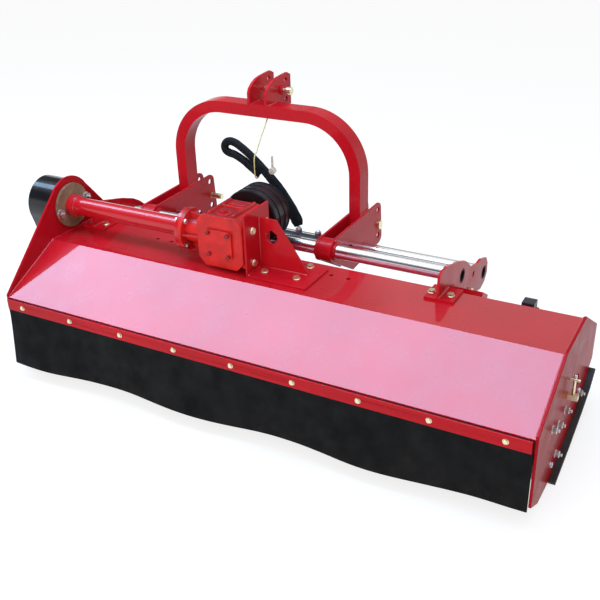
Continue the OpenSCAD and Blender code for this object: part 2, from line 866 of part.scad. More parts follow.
module gearbox_housing() {
    box_left = box_c[0] - box_w / 2;
    box_right = box_c[0] + box_w / 2;
    color("red")
        difference() {
            union() {
                slab_y(box_rear_y, box_d)
                    translate(box_c)
                        chamfered(box_w, box_h, box_chamfer);
                bar_x(tube_end_x, drive_c, flange_r, flange_t);
                bar_x(tube_end_x, drive_c, out_neck_r, box_left - tube_end_x + box_wall);
                translate([box_right - box_wall, drive_y - side_flange_w / 2, drive_h - side_flange_h / 2])
                    cube([mount_x - box_right + box_wall, side_flange_w, side_flange_h]);
                bar_y(box_front_y - box_wall, input_c, neck_r, neck_len + box_wall);
                bar_y(box_front_y + neck_len, input_c, neck_flange_r, neck_flange_t);
            }
            slab_y(box_rear_y + box_wall, box_d - 2 * box_wall)
                translate(box_c)
                    chamfered(box_w - 2 * box_wall, box_h - 2 * box_wall, box_chamfer);
            bar_x(tube_end_x - overrun, drive_c, bearing_r + seat_gap,
                box_left - tube_end_x + box_wall + 2 * overrun);
            bar_y(box_front_y - box_wall - overrun, input_c, bearing_r + seat_gap,
                box_wall + neck_len + neck_flange_t + 2 * overrun);
            bar_y(box_rear_y - overrun, lid_c, lid_hole_r, box_wall + 2 * overrun);
            for (c = lid_screws())
                bar_y(box_rear_y - overrun, c, lid_screw_d / 2 + hole_gap, screw_len + overrun);
            for (k = [0 : flange_bolt_count - 1])
                bar_x(tube_end_x - overrun, flange_bolt(k), bolt_m10 / 2 + hole_gap, flange_t + 2 * overrun);
            for (c = side_bolts())
                bar_x(mount_x - side_screw_len - overrun, c, bolt_m12 / 2 + hole_gap,
                    side_screw_len + 2 * overrun);
            bar_z(box_c[1] + box_h / 2 - box_wall - overrun, [box_c[0], drive_y - plug_back],
                plug_d / 4 + hole_gap, box_wall + 2 * overrun);
        }
}

module gearbox_cover() {
    color("red")
        difference() {
            slab_y(box_rear_y - lid_t, lid_t)
                translate(lid_c)
                    chamfered(lid_w, lid_h, lid_t);
            for (c = lid_screws())
                bar_y(box_rear_y - lid_t - overrun, c, lid_screw_d / 2 + hole_gap, lid_t + 2 * overrun);
        }
}

module gearbox_screws() {
    color("dimgray") {
        for (c = lid_screws()) {
            bar_y(box_rear_y - lid_t - lid_screw_d, c, lid_screw_d * head_share / 2, lid_screw_d);
            bar_y(box_rear_y - lid_t - lid_screw_d / 2, c, lid_screw_d / 2,
                lid_t + screw_len - overrun + lid_screw_d / 2);
        }
        for (k = [0 : flange_bolt_count - 1])
            bolt_left(tube_end_x - flange_t, flange_bolt(k), bolt_m10, 2 * flange_t);
    }
}

module breather_plug() {
    z = box_c[1] + box_h / 2;
    c = [box_c[0], drive_y - plug_back];
    color("goldenrod") {
        translate([c[0], c[1], z])
            cylinder(d = plug_d, h = plug_h, $fn = 6);
        bar_z(z - box_wall, c, plug_d / 4, box_wall + plug_h / 2);
    }
}

module gearbox_bracket() {
    gusset_x = mount_x + mount_t;
    base_z = top_h + mount_t;
    gusset_y = drive_y;
    color("red")
        difference() {
            union() {
                translate([mount_x, mount_rear_y, top_h])
                    cube([mount_t, mount_d, mount_top]);
                translate([mount_x, mount_rear_y, top_h])
                    cube([foot_w, foot_d, mount_t]);
                slab_y(gusset_y, mount_t)
                    polygon([
                        [gusset_x - mount_t / 2, base_z - mount_t / 2],
                        [gusset_x + gusset_w, base_z - mount_t / 2],
                        [gusset_x + gusset_w, base_z + mount_t],
                        [gusset_x + gusset_top, base_z + gusset_h],
                        [gusset_x - mount_t / 2, base_z + gusset_h]]);
            }
            translate([gusset_x + gusset_hole_x, gusset_y - overrun, base_z + gusset_hole_z])
                rotate([-90, 90, 0])
                    cylinder(r = gusset_hole_r, h = mount_t + 2 * overrun, $fn = 6);
            for (c = side_bolts())
                bar_x(mount_x - overrun, c, bolt_m12 / 2 + hole_gap, mount_t + 2 * overrun);
            for (c = foot_bolts())
                bar_z(top_h - overrun, c, bolt_m12 / 2 + hole_gap, mount_t + 2 * overrun);
        }
}

module gearbox_bolts() {
    color("gold") {
        for (c = foot_bolts())
            bolt_up(top_h + mount_t, c, bolt_m12, mount_t + sheet_t);
        for (c = side_bolts())
            translate([mount_x + mount_t, c[0], c[1]])
                rotate([0, 90, 0])
                    hex_screw(bolt_m12, mount_t + side_screw_len);
    }
}

module pto_guard() {
    y = box_front_y + neck_len + neck_flange_t;
    color([0.12, 0.12, 0.13])
        difference() {
            bar_y(y, input_c, guard_r, guard_len);
            bar_y(y + guard_wall, input_c, guard_r - guard_wall, guard_len);
            bar_y(y - overrun, input_c, bearing_r, guard_wall + 2 * overrun);
            bar_x(input_x - guard_r - overrun, rear_bar, bar_d / 2 + guard_notch, 2 * guard_r + 2 * overrun);
        }
}

// Drive tube, its bearing and the belt drive
module drive_tube() {
    start = side_t + bearing_flange_t;
    color("crimson")
        difference() {
            union() {
                bar_x(start, drive_c, collar_r, collar_len);
                bar_x(start, drive_c, tube_d / 2, tube_end_x - start);
                bar_x(tube_end_x - flange_t, drive_c, flange_r, flange_t);
            }
            bar_x(start - overrun, drive_c, tube_d / 2 - tube_wall, tube_end_x - start + 2 * overrun);
            for (k = [0 : flange_bolt_count - 1])
                bar_x(tube_end_x - flange_t - overrun, flange_bolt(k), bolt_m10 / 2 + hole_gap,
                    flange_t + 2 * overrun);
        }
}

module bearing_flange() {
    color("tan")
        difference() {
            union() {
                bar_x(side_t, drive_c, bearing_flange_r, bearing_flange_t);
                bar_x(side_t - bearing_hub_len, drive_c, bearing_hub_r,
                    bearing_hub_len + bearing_flange_t / 2);
            }
            bar_x(side_t - bearing_hub_len - overrun, drive_c, bearing_r + seat_gap,
                bearing_hub_len + bearing_flange_t + 2 * overrun);
            for (a = bearing_bolt_angles)
                bar_x(side_t - overrun, on_circle(drive_c, bearing_bolt_r, a), bolt_m12 / 2 + hole_gap,
                    bearing_flange_t + 2 * overrun);
        }
}

module bearing_bolts() {
    color("silver") {
        for (a = bearing_bolt_angles)
            bolt_right(side_t + bearing_flange_t, on_circle(drive_c, bearing_bolt_r, a), bolt_m12,
                bearing_flange_t + side_t);
        for (a = rotor_bolt_angles) {
            bolt_left(0, on_circle(rotor_c, rotor_bolt_r, a), bolt_m10, side_t + rotor_bearing_t);
            bolt_right(deck_w, on_circle(rotor_c, rotor_bolt_r, a), bolt_m10, side_t + rotor_bearing_t);
        }
    }
}

module belt_cover() {
    lower_r = cover_r * rotor_cover_share;
    color([0.12, 0.12, 0.13])
        difference() {
            loop_solid(-cover_depth, cover_depth, drive_c, cover_r, rotor_c, lower_r);
            loop_solid(-cover_depth + cover_wall, cover_depth, drive_c, cover_r - cover_wall, rotor_c,
                lower_r - cover_wall);
        }
}

module drive_belts() {
    drive_in = drive_pulley_r - groove_depth + soft_gap;
    rotor_in = rotor_pulley_r - groove_depth + soft_gap;
    belt_w = groove_w - 2 * soft_gap;
    color([0.15, 0.15, 0.15])
        for (k = [0 : groove_count - 1])
            translate([pulley_x + groove_land + k * (groove_w + groove_land) + soft_gap, 0, 0])
                difference() {
                    loop_solid(0, belt_w, drive_c, drive_in + belt_t, rotor_c, rotor_in + belt_t);
                    loop_solid(-overrun, belt_w + 2 * overrun, drive_c, drive_in, rotor_c, rotor_in);
                }
}

module pulley(c, r, bore) {
    difference() {
        bar_x(pulley_x, c, r, pulley_w);
        bar_x(pulley_x - overrun, c, bore, pulley_w + 2 * overrun);
        for (k = [0 : groove_count - 1])
            difference() {
                bar_x(pulley_x + groove_land + k * (groove_w + groove_land), c, r + overrun, groove_w);
                bar_x(pulley_x + groove_land + k * (groove_w + groove_land) - overrun, c, r - groove_depth,
                    groove_w + 2 * overrun);
            }
    }
}

module drive_pulley() {
    color("gray")
        pulley(drive_c, drive_pulley_r, shaft_d / 2 + seat_gap);
}

module rotor_pulley() {
    color("gray")
        pulley(rotor_c, rotor_pulley_r, stub_d / 2 + seat_gap);
}

module drive_shaft() {
    color("lightgray")
        bar_x(pulley_x, drive_c, shaft_d / 2, input_x - crown_r - overrun - pulley_x);
}

// Bevel pair: the faces are cones that meet where the two axes cross
module output_gear() {
    color("lightgray")
        translate([input_x, drive_y, drive_h])
            rotate([0, -90, 0]) {
                difference() {
                    translate([0, 0, crown_inner_r])
                        cylinder(r1 = crown_inner_r / gear_ratio, r2 = crown_r / gear_ratio,
                            h = crown_r - crown_inner_r);
                    for (k = [0 : crown_teeth / gear_ratio - 1])
                        rotate([0, 0, 360 * gear_ratio * k / crown_teeth])
                            translate([crown_r / gear_ratio - tooth_depth, -tooth_slot / 2,
                                crown_inner_r - overrun])
                                cube([crown_r, tooth_slot, crown_r - crown_inner_r + 2 * overrun]);
                }
                translate([0, 0, crown_r - overrun])
                    cylinder(r = crown_r / gear_ratio - tooth_depth, h = 2 * overrun);
            }
}

module input_gear() {
    face_in = crown_inner_r / gear_ratio + gear_gap;
    face_out = crown_r / gear_ratio + gear_gap;
    bore = pto_d / 2 + seat_gap;
    color("lightgray")
        translate([input_x, drive_y, drive_h])
            rotate([-90, 0, 0])
                difference() {
                    rotate_extrude()
                        polygon([[bore, face_in], [crown_inner_r, face_in], [crown_r, face_out],
                            [crown_r, crown_back], [bore, crown_back]]);
                    for (k = [0 : crown_teeth - 1])
                        rotate([0, 0, 360 * k / crown_teeth])
                            translate([crown_inner_r + tooth_depth, -tooth_slot / 2, face_in - overrun])
                                cube([crown_r, tooth_slot, face_out - face_in + overrun + tooth_depth / 2]);
                }
}

module input_shaft() {
    start = drive_y + shaft_step;
    length = box_front_y + neck_len + neck_flange_t + guard_len - pto_end_gap - start;
    color("silver")
        difference() {
            bar_y(start, input_c, pto_d / 2, length);
            translate([input_x, start + length - spline_len, drive_h])
                for (k = [0 : spline_count - 1])
                    rotate([0, 360 * k / spline_count, 0])
                        translate([pto_d / 2 - spline_depth, 0, -spline_slot / 2])
                            cube([pto_d, spline_len + overrun, spline_slot]);
        }
}

module bearing_ring(bore) {
    difference() {
        cylinder(r = bearing_r, h = bearing_w);
        translate([0, 0, -overrun])
            cylinder(r = bore, h = bearing_w + 2 * overrun);
    }
}

module shaft_bearings() {
    rings_y = [box_front_y, box_front_y + neck_len + neck_flange_t - bearing_w];
    color("silver") {
        for (x = [side_t - bearing_hub_len + overrun, tube_end_x + overrun])
            translate([x, drive_y, drive_h])
                rotate([0, 90, 0])
                    bearing_ring(shaft_d / 2 + run_gap);
        for (y = rings_y)
            translate([input_x, y, drive_h])
                rotate([-90, 0, 0])
                    bearing_ring(pto_d / 2 + run_gap);
    }
}

// Rotor, hammers and roller
module rotor() {
    start = side_t + rotor_end_gap;
    length = deck_w - 2 * start;
    color("dimgray")
        difference() {
            union() {
                bar_x(start, rotor_c, rotor_r, length);
                bar_x(pulley_x, rotor_c, stub_d / 2, start - pulley_x + overrun);
                bar_x(start + length - overrun, rotor_c, stub_d / 2, rotor_end_gap);
                for (row = [0 : len(row_angles) - 1], i = [0 : hammers_per_row - 1])
                    translate([hammer_x(row, i), 0, 0])
                        hammer_lug(row);
            }
            bar_x(start + rotor_wall, rotor_c, rotor_r - rotor_wall, length - 2 * rotor_wall);
        }
}

module hammer_lug(row) {
    pin = hammer_pin(row);
    stem_w = lug_w - 2 * lug_blend;
    for (side = [-1, 1]) {
        x = side * (lug_gap + lug_t) / 2 - lug_t / 2;
        bar_x(x, pin, lug_w / 2, lug_t);
        slab_x(x, lug_t)
            translate(rotor_c)
                rotate(row_angles[row])
                    translate([rotor_r - rotor_wall / 2, -stem_w / 2])
                        square([hammer_pin_r - rotor_r + rotor_wall / 2, stem_w]);
    }
    bar_x(-lug_gap / 2 - lug_t - overrun, pin, hammer_pin_d / 2, lug_gap + 2 * lug_t + 2 * overrun);
}

module hammers(row) {
    pin = hammer_pin(row);
    shank_w = lug_gap - 2 * hammer_side_gap;
    color("darkgray")
        for (i = [0 : hammers_per_row - 1])
            translate([hammer_x(row, i), pin[0], pin[1]])
                difference() {
                    union() {
                        bar_x(-shank_w / 2, [0, 0], hammer_eye_r, shank_w);
                        translate([-shank_w / 2, -hammer_t / 2, -hammer_len])
                            cube([shank_w, hammer_t, hammer_len]);
                        translate([-hammer_head_w / 2, -hammer_t / 2, -hammer_len])
                            cube([hammer_head_w, hammer_t, hammer_head_h]);
                    }
                    bar_x(-lug_gap, [0, 0], hammer_pin_d / 2 + run_gap, 2 * lug_gap);
                }
}

module hammers_row_1() {
    hammers(0);
}

module hammers_row_2() {
    hammers(1);
}

module hammers_row_3() {
    hammers(2);
}

module hammers_row_4() {
    hammers(3);
}

module rotor_bearing(turn) {
    difference() {
        union() {
            cylinder(r = rotor_bearing_r, h = rotor_bearing_t);
            cylinder(r = rotor_hub_r, h = rotor_bearing_t + rotor_hub_len);
        }
        translate([0, 0, -overrun])
            cylinder(r = stub_d / 2 + run_gap, h = rotor_bearing_t + rotor_hub_len + 2 * overrun);
        for (a = rotor_bolt_angles)
            rotate(90 + turn * a)
                translate([rotor_bolt_r, 0, -overrun])
                    cylinder(d = bolt_m10 + 2 * hole_gap, h = rotor_bearing_t + 2 * overrun);
    }
}

module rotor_bearings() {
    color("slategray") {
        translate([side_t, rotor_y, rotor_h])
            rotate([0, 90, 0])
                rotor_bearing(1);
        translate([deck_w - side_t, rotor_y, rotor_h])
            rotate([0, -90, 0])
                rotor_bearing(-1);
    }
}

module rear_roller() {
    start = side_t + roller_block_t + roller_end_gap;
    length = deck_w - 2 * start;
    stub = roller_block_t + roller_end_gap;
    color("firebrick")
        difference() {
            union() {
                bar_x(start, roller_c, roller_r, length);
                bar_x(start - stub, roller_c, roller_stub_d / 2, length + 2 * stub);
            }
            bar_x(start + roller_wall, roller_c, roller_r - roller_wall, length - 2 * roller_wall);
        }
}

module roller_bearings() {
    color("slategray")
        for (x = [side_t, deck_w - side_t - roller_block_t])
            difference() {
                slab_x(x, roller_block_t)
                    translate(roller_c - [roller_block, roller_block] / 2)
                        square(roller_block);
                bar_x(x - overrun, roller_c, roller_stub_d / 2 + run_gap, roller_block_t + 2 * overrun);
                for (c = roller_bolts())
                    bar_x(x - overrun, c, bolt_m10 / 2 + hole_gap, roller_block_t + 2 * overrun);
            }
}

// Skids run along the lower edge of the side plates, on their outside
module skid(x) {
    slab_x(x, skid_w)
        polygon(concat(skid_path, reversed(inset(skid_path, -skid_t))));
}

module left_skid() {
    color([0.12, 0.12, 0.13])
        skid(-skid_w);
}

module right_skid() {
    color([0.12, 0.12, 0.13])
        skid(deck_w);
}

module plate_bolts() {
    color("silver") {
        for (c = roller_bolts()) {
            translate([0, c[0], c[1]])
                rotate([0, -90, 0])
                    hex_screw(bolt_m10, side_t + roller_block_t - overrun);
            translate([deck_w, c[0], c[1]])
                rotate([0, 90, 0])
                    hex_screw(bolt_m10, side_t + roller_block_t - overrun);
        }
        for (c = right_bolts())
            bolt_right(deck_w, c, bolt_m10, side_t);
    }
}

// Zinc-plated screw with a cross handle, in a small block on the right side plate
module height_screw() {
    x = deck_w + height_base_t / 2;
    c = [x, height_screw_c[0]];
    color("gold") {
        translate([deck_w, height_screw_c[0] - height_base_w / 2, height_screw_c[1] - height_base_w / 2])
            cube([height_base_t, height_base_w, height_base_w]);
        bar_z(height_screw_c[1], c, screw_bar_d / 2, height_screw_h);
        bar_x(x - height_bar_len / 2, [height_screw_c[0], height_screw_c[1] + height_screw_h], screw_bar_d / 2,
            height_bar_len);
    }
}

// Parking stand: a square leg in a square socket on the front lip
function stand_y() = front_y + socket_wall + stand_gap + stand_w / 2;
function socket_top() = front_edge_h - rim_h;

module square_tube(x, outer, inner, z, height) {
    difference() {
        translate([x - outer / 2, stand_y() - outer / 2, z])
            cube([outer, outer, height]);
        translate([x - inner / 2, stand_y() - inner / 2, z - overrun])
            cube([inner, inner, height + 2 * overrun]);
    }
}

module stand_socket() {
    inner = stand_w + 2 * stand_gap;
    color("crimson")
        for (x = stand_xs)
            difference() {
                square_tube(x, inner + 2 * socket_wall, inner, socket_top() - socket_h, socket_h);
                bar_y(stand_y() + stand_w / 2 - overrun, [x, socket_top() - socket_h / 2],
                    screw_d / 2 + hole_gap, socket_wall + stand_gap + 2 * overrun);
            }
}

module parking_stand(x) {
    color([0.15, 0.15, 0.16]) {
        square_tube(x, stand_w, stand_w - 2 * stand_wall, stand_foot, stand_top - stand_foot);
        translate([x - stand_w / 2, stand_y() - stand_w / 2, stand_top - overrun])
            cube([stand_w, stand_w, stand_cap_t]);
    }
}

module right_parking_stand() {
    parking_stand(stand_xs[1]);
}

module left_parking_stand() {
    parking_stand(stand_xs[0]);
}

module stand_screw() {
    tip = stand_y() + stand_w / 2 + stand_gap;
    z = socket_top() - socket_h / 2;
    color("gold")
        for (x = stand_xs) {
            bar_y(tip, [x, z], screw_d / 2, screw_reach);
            bar_x(x - screw_bar_len / 2, [tip + screw_reach - screw_bar_d, z], screw_bar_d / 2, screw_bar_len);
        }
}

// Hitch frame: it slides along the bars
function pair_mid(pair) = hitch_x + pair * hitch_span;
function plate_starts(pair) = [pair_mid(pair) - pair_half, pair_mid(pair) + hitch_gap / 2];
function lobe_c() = front_bar + [lobe_ahead, lobe_up];
function pin_c() = front_bar + [pin_ahead, pin_up];
function low_hole_c() = front_bar + [low_hole_ahead, low_hole_up];
function corner_c() = front_bar + [low_hole_ahead + low_hole_up - overrun, 0];

module hitch_outline() {
    translate(rear_bar)
        circle(hitch_eye_r);
    translate(lobe_c())
        circle(lobe_r);
    translate(corner_c())
        circle(corner_r);
    polygon([
        rear_bar + [0, hitch_eye_r],
        lobe_c() + [0, lobe_r],
        lobe_c() + [lobe_r, 0],
        corner_c() + [corner_r, 0],
        corner_c() - [0, corner_r],
        front_bar - [heel_back, heel_drop],
        on_circle(rear_bar, hitch_eye_r, heel_angle)]);
}

module hitch_plates(pair) {
    for (x = plate_starts(pair))
        difference() {
            slab_x(x, hitch_t)
                hitch_outline();
            for (c = [rear_bar, front_bar])
                bar_x(x - overrun, c, liner_r + seat_gap, hitch_t + 2 * overrun);
            bar_x(x - overrun, cylinder_c, rod_hole_r, hitch_t + 2 * overrun);
            for (c = [lobe_c(), low_hole_c()])
                bar_x(x - overrun, c, lower_pin_d / 2 + hole_gap / 2, hitch_t + 2 * overrun);
            bar_x(x - overrun, pin_c(), lower_pin_d / 2 + pin_step + hole_gap / 2, hitch_t + 2 * overrun);
        }
}

module left_hitch_plates() {
    color("crimson")
        hitch_plates(0);
}

module right_hitch_plates() {
    color("crimson")
        hitch_plates(1);
}

module slide_bushes() {
    color("firebrick")
        for (pair = [0, 1], k = [0, 1]) {
            c = k == 0 ? rear_bar : front_bar;
            liner_half = k == 0 ? pair_half + liner_out : pair_half;
            difference() {
                union() {
                    bar_x(pair_mid(pair) - hitch_gap / 2, c, bush_r, hitch_gap);
                    bar_x(pair_mid(pair) - liner_half, c, liner_r, 2 * liner_half);
                }
                bar_x(pair_mid(pair) - liner_half - overrun, c, bar_d / 2 + run_gap,
                    2 * liner_half + 2 * overrun);
            }
        }
}

module tube_section(shrink) {
    square([arch_w - 2 * shrink, arch_d - 2 * shrink], center = true);
}

module arch_leg(x, shrink) {
    translate([x, arch_y + arch_d / 2, arch_foot - shrink])
        linear_extrude(arch_top - arch_bend_r - arch_foot + 2 * shrink)
            tube_section(shrink);
}

module arch_bend(x, side, shrink) {
    translate([x - side * (arch_bend_r - arch_w / 2), arch_y + arch_d / 2, arch_top - arch_bend_r])
        rotate([90, 0, 0])
            rotate(side > 0 ? 0 : 90)
                rotate_extrude(angle = 90)
                    translate([arch_bend_r - arch_w / 2, 0])
                        tube_section(shrink);
}

module arch_solid(shrink) {
    left = pair_mid(0);
    right = pair_mid(1);
    reach = arch_bend_r - arch_w / 2;
    arch_leg(left, shrink);
    arch_leg(right, shrink);
    arch_bend(left, -1, shrink);
    arch_bend(right, 1, shrink);
    translate([left + reach, arch_y + arch_d / 2, arch_top - arch_w / 2])
        rotate([0, 90, 0])
            linear_extrude(right - left - 2 * reach)
                tube_section(shrink);
}

module arch_frame() {
    color("crimson")
        difference() {
            arch_solid(0);
            arch_solid(arch_wall);
        }
}

// Top link plates stand on the arch and hang over its front
function clevis_c(inward, up) = [arch_y + arch_d + clevis_front - inward, arch_top + up];
function clevis_starts() = [clevis_mid_x - clevis_gap / 2 - clevis_t, clevis_mid_x + clevis_gap / 2];

function clevis_rear() = [for (share = clevis_rear_shares)
    [arch_y + share[0] * (arch_d + clevis_front), arch_top + share[1] * clevis_top_h]];

module top_link_plates() {
    color("crimson")
        for (k = [0, 1])
            difference() {
                union() {
                    slab_x(clevis_starts()[k], clevis_t)
                        polygon(concat([[arch_y, arch_top]], clevis_rear(), [
                            clevis_c(clevis_top_in, clevis_top_h),
                            clevis_c(0, clevis_top_h - clevis_top_in / 2),
                            clevis_c(0, -clevis_low),
                            [arch_y + arch_d, arch_top - clevis_low],
                            [arch_y + arch_d, arch_top]]));
                    bar_x(clevis_starts()[k] + (k == 0 ? -clevis_boss_t : clevis_t),
                        clevis_c(clevis_pin_in, clevis_pin_up), clevis_boss_r, clevis_boss_t);
                }
                for (c = [clevis_c(clevis_pin_in, clevis_pin_up), clevis_c(clevis_hole_in, clevis_hole_up),
                    clevis_c(clevis_hole_in, -clevis_hole_low)])
                    bar_x(clevis_starts()[k] - clevis_boss_t - overrun, c, top_pin_d / 2 + hole_gap / 2,
                        clevis_t + 2 * clevis_boss_t + 2 * overrun);
            }
}

module top_link_pin() {
    c = clevis_c(clevis_pin_in, clevis_pin_up);
    start = clevis_starts()[0] - top_pin_out;
    seat = clevis_starts()[1] + clevis_t + clevis_boss_t;
    color("gold") {
        bar_x(start, c, top_pin_d / 2, seat - start + top_pin_out / 2);
        bar_x(seat + top_pin_out / 2 - overrun, c, top_pin_head_r, top_pin_out / 2);
    }
}

module lower_link_pins() {
    color("silver")
        for (pair = [0, 1]) {
            inward = pair == 0 ? 1 : -1;
            outside = pair_mid(pair) - inward * pair_half;
            translate([outside, pin_c()[0], pin_c()[1]])
                rotate([0, inward * 90, 0]) {
                    cylinder(r = lower_pin_d / 2 + pin_step, h = 2 * pair_half);
                    cylinder(d = lower_pin_d, h = 2 * pair_half + pin_end_len);
                    translate([0, 0, -pin_head_t])
                        cylinder(r = pin_head_r, h = pin_head_t);
                }
        }
}

// Side-shift cylinder: the barrel rides on the hitch frame, the rod is held by the left bar bracket
module cylinder_barrel() {
    length = plate_starts(1)[0] - barrel_x;
    color([0.1, 0.1, 0.11])
        difference() {
            bar_x(barrel_x, cylinder_c, barrel_d / 2, length);
            bar_x(barrel_x + barrel_cap, cylinder_c, barrel_bore_d / 2, length - 2 * barrel_cap);
            bar_x(barrel_x - overrun, cylinder_c, rod_d / 2 + run_gap, barrel_cap + 2 * overrun);
            for (x = fitting_xs)
                bar_z(cylinder_c[1], [x, cylinder_c[0]], fitting_ball_r / 2, barrel_d);
        }
}

module cylinder_rod() {
    shoulder = left_bracket_x + bracket_t;
    color("silver") {
        bar_x(shoulder, cylinder_c, rod_d / 2, piston_x - shoulder);
        bar_x(piston_x, cylinder_c, barrel_bore_d / 2 - run_gap, piston_w);
        bar_x(left_bracket_x - rod_nut_h, cylinder_c, rod_stud_d / 2, bracket_t + rod_nut_h + overrun);
        translate([left_bracket_x - rod_nut_h, cylinder_c[0], cylinder_c[1]])
            rotate([0, 90, 0])
                cylinder(d = rod_stud_d * head_share, h = rod_nut_h, $fn = 6);
    }
}

module hose_fittings() {
    seat = cylinder_c[1] + barrel_d / 2;
    color("silver")
        for (x = fitting_xs) {
            translate([x, cylinder_c[0], seat])
                cylinder(d = fitting_hex, h = fitting_h, $fn = 6);
            bar_z(seat - overrun, [x, cylinder_c[0]], fitting_ball_r / 2 - seat_gap, fitting_h + overrun);
            translate([x, cylinder_c[0], seat + fitting_h])
                sphere(r = fitting_ball_r);
        }
}

// A tube swept along route points that lie close to a plane across the mower
function route_dir(route, i) = let (
    span = route[min(i + 1, len(route) - 1)] - route[max(i - 1, 0)])
    span / norm(span);
function route_ring(route, i, w, d, sides) = let (
    ahead = route_dir(route, i),
    flat = cross(ahead, [0, 1, 0]),
    side = flat / norm(flat),
    deep = cross(side, ahead))
    [for (k = [0 : sides - 1])
        route[i] + side * cos(360 * k / sides) * w / 2 + deep * sin(360 * k / sides) * d / 2];

module swept(route, w, d, sides) {
    last = len(route) - 1;
    points = [for (i = [0 : last]) each route_ring(route, i, w, d, sides)];
    walls = [for (i = [0 : last - 1], k = [0 : sides - 1], half = [0, 1]) let (
        a = i * sides + k,
        b = i * sides + (k + 1) % sides)
        half == 0 ? [a, b, b + sides] : [a, b + sides, a + sides]];
    first_cap = [for (k = [1 : sides - 2]) [0, k + 1, k]];
    last_cap = [for (k = [1 : sides - 2]) [last * sides, last * sides + k, last * sides + k + 1]];
    polyhedron(points = points, faces = concat(walls, first_cap, last_cap));
}

module hose_bundle() {
    color([0.08, 0.08, 0.08])
        translate(hose_shift)
            swept(hose_route, hose_w, hose_d, hose_sides);
}

module hose_coupler() {
    color("gold") {
        translate(coupler_c)
            rotate([90, 0, 0])
                cylinder(r = coupler_r, h = coupler_len / 2, center = true, $fn = 6);
        bar_z(coupler_c[2], coupler_c, coupler_tail_r, coupler_tail);
    }
}

module tie_cord() {
    color("khaki")
        rod_between(cord_low, cord_high, cord_r);
}

// The finished part stands on the ground, its origin under the middle of its outline
module placed() {
    translate([-mid_x, -mid_y, 0])
        children();
}

placed() deck_shell();
placed() left_side_plate();
placed() right_side_plate();
placed() rear_flap();
placed() front_flap();
placed() flap_strips();
placed() strip_bolts();
placed() left_bar_bracket();
placed() right_bar_bracket();
placed() rear_bar();
placed() front_bar();
placed() bracket_bolts();
placed() gearbox_housing();
placed() gearbox_cover();
placed() gearbox_screws();
placed() breather_plug();
placed() gearbox_bracket();
placed() gearbox_bolts();
placed() pto_guard();
placed() drive_tube();
placed() bearing_flange();
placed() bearing_bolts();
placed() belt_cover();
placed() drive_belts();
placed() rotor_bearings();
placed() left_skid();
placed() right_skid();
placed() plate_bolts();
placed() roller_bearings();
placed() height_screw();
placed() stand_socket();
placed() cylinder_rod();
placed() shaft_bearings();
placed() arch_frame();
placed() left_hitch_plates();
placed() right_hitch_plates();
placed() slide_bushes();
placed() top_link_plates();
placed() top_link_pin();
placed() lower_link_pins();
placed() cylinder_barrel();
placed() hose_fittings();
placed() hose_bundle();
placed() hose_coupler();
placed() tie_cord();
placed() input_shaft();
placed() input_gear();
placed() drive_shaft();
placed() output_gear();
placed() drive_pulley();
placed() rotor();
placed() rotor_pulley();
placed() hammers_row_1();
placed() hammers_row_2();
placed() hammers_row_3();
placed() hammers_row_4();
placed() rear_roller();
placed() right_parking_stand();
placed() left_parking_stand();
placed() stand_screw();
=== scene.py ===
"""Looks of a flail mower for a tractor: finishes for the CAD nodes, and its flaps, hoses, cord and small details.

Lengths are metres in the row frame, except where a name ends in mm. Places on the mower are written in
millimetres in the deck's own frame: X from the left side plate, Y forward from the rear lip, Z up from the ground.
"""

import json
import math

import bmesh
import bpy
from mathutils import Matrix, Vector, noise


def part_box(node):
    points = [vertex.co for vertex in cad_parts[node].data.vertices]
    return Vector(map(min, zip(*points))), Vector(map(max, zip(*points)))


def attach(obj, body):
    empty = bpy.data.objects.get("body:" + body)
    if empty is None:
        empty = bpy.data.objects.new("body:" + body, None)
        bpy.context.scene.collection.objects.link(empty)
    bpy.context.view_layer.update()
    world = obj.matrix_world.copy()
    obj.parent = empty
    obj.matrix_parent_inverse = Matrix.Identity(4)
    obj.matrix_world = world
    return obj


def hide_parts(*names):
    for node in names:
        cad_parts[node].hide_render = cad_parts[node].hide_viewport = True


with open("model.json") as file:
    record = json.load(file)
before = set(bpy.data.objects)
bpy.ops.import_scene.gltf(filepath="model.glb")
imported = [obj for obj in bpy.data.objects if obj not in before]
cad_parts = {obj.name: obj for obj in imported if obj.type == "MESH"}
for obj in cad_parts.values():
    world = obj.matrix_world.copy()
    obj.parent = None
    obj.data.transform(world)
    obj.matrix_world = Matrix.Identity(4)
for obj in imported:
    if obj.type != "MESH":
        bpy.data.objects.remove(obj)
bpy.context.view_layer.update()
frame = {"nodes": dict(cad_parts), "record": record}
nodes = frame["nodes"]
scene = bpy.context.scene

MM = 0.001
DECK_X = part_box("left_side_plate")[0].x
DECK_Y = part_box("deck_shell")[0].y


def deck(x, y, z):
    """A place on the mower, from millimetres in the deck's frame to metres in the row frame."""
    return Vector((DECK_X + x * MM, DECK_Y + y * MM, z * MM))


# Camera, fitted to the photograph

CAMERA_PLACE_MM = (2119.6, -1778.5, 1578.7)
CAMERA_AZIMUTH = 29.456
CAMERA_ELEVATION = 27.646
CAMERA_ROLL = 1.841
CAMERA_FOCAL_PX = 876.583
IMAGE_PX = 600
SENSOR_MM = 36


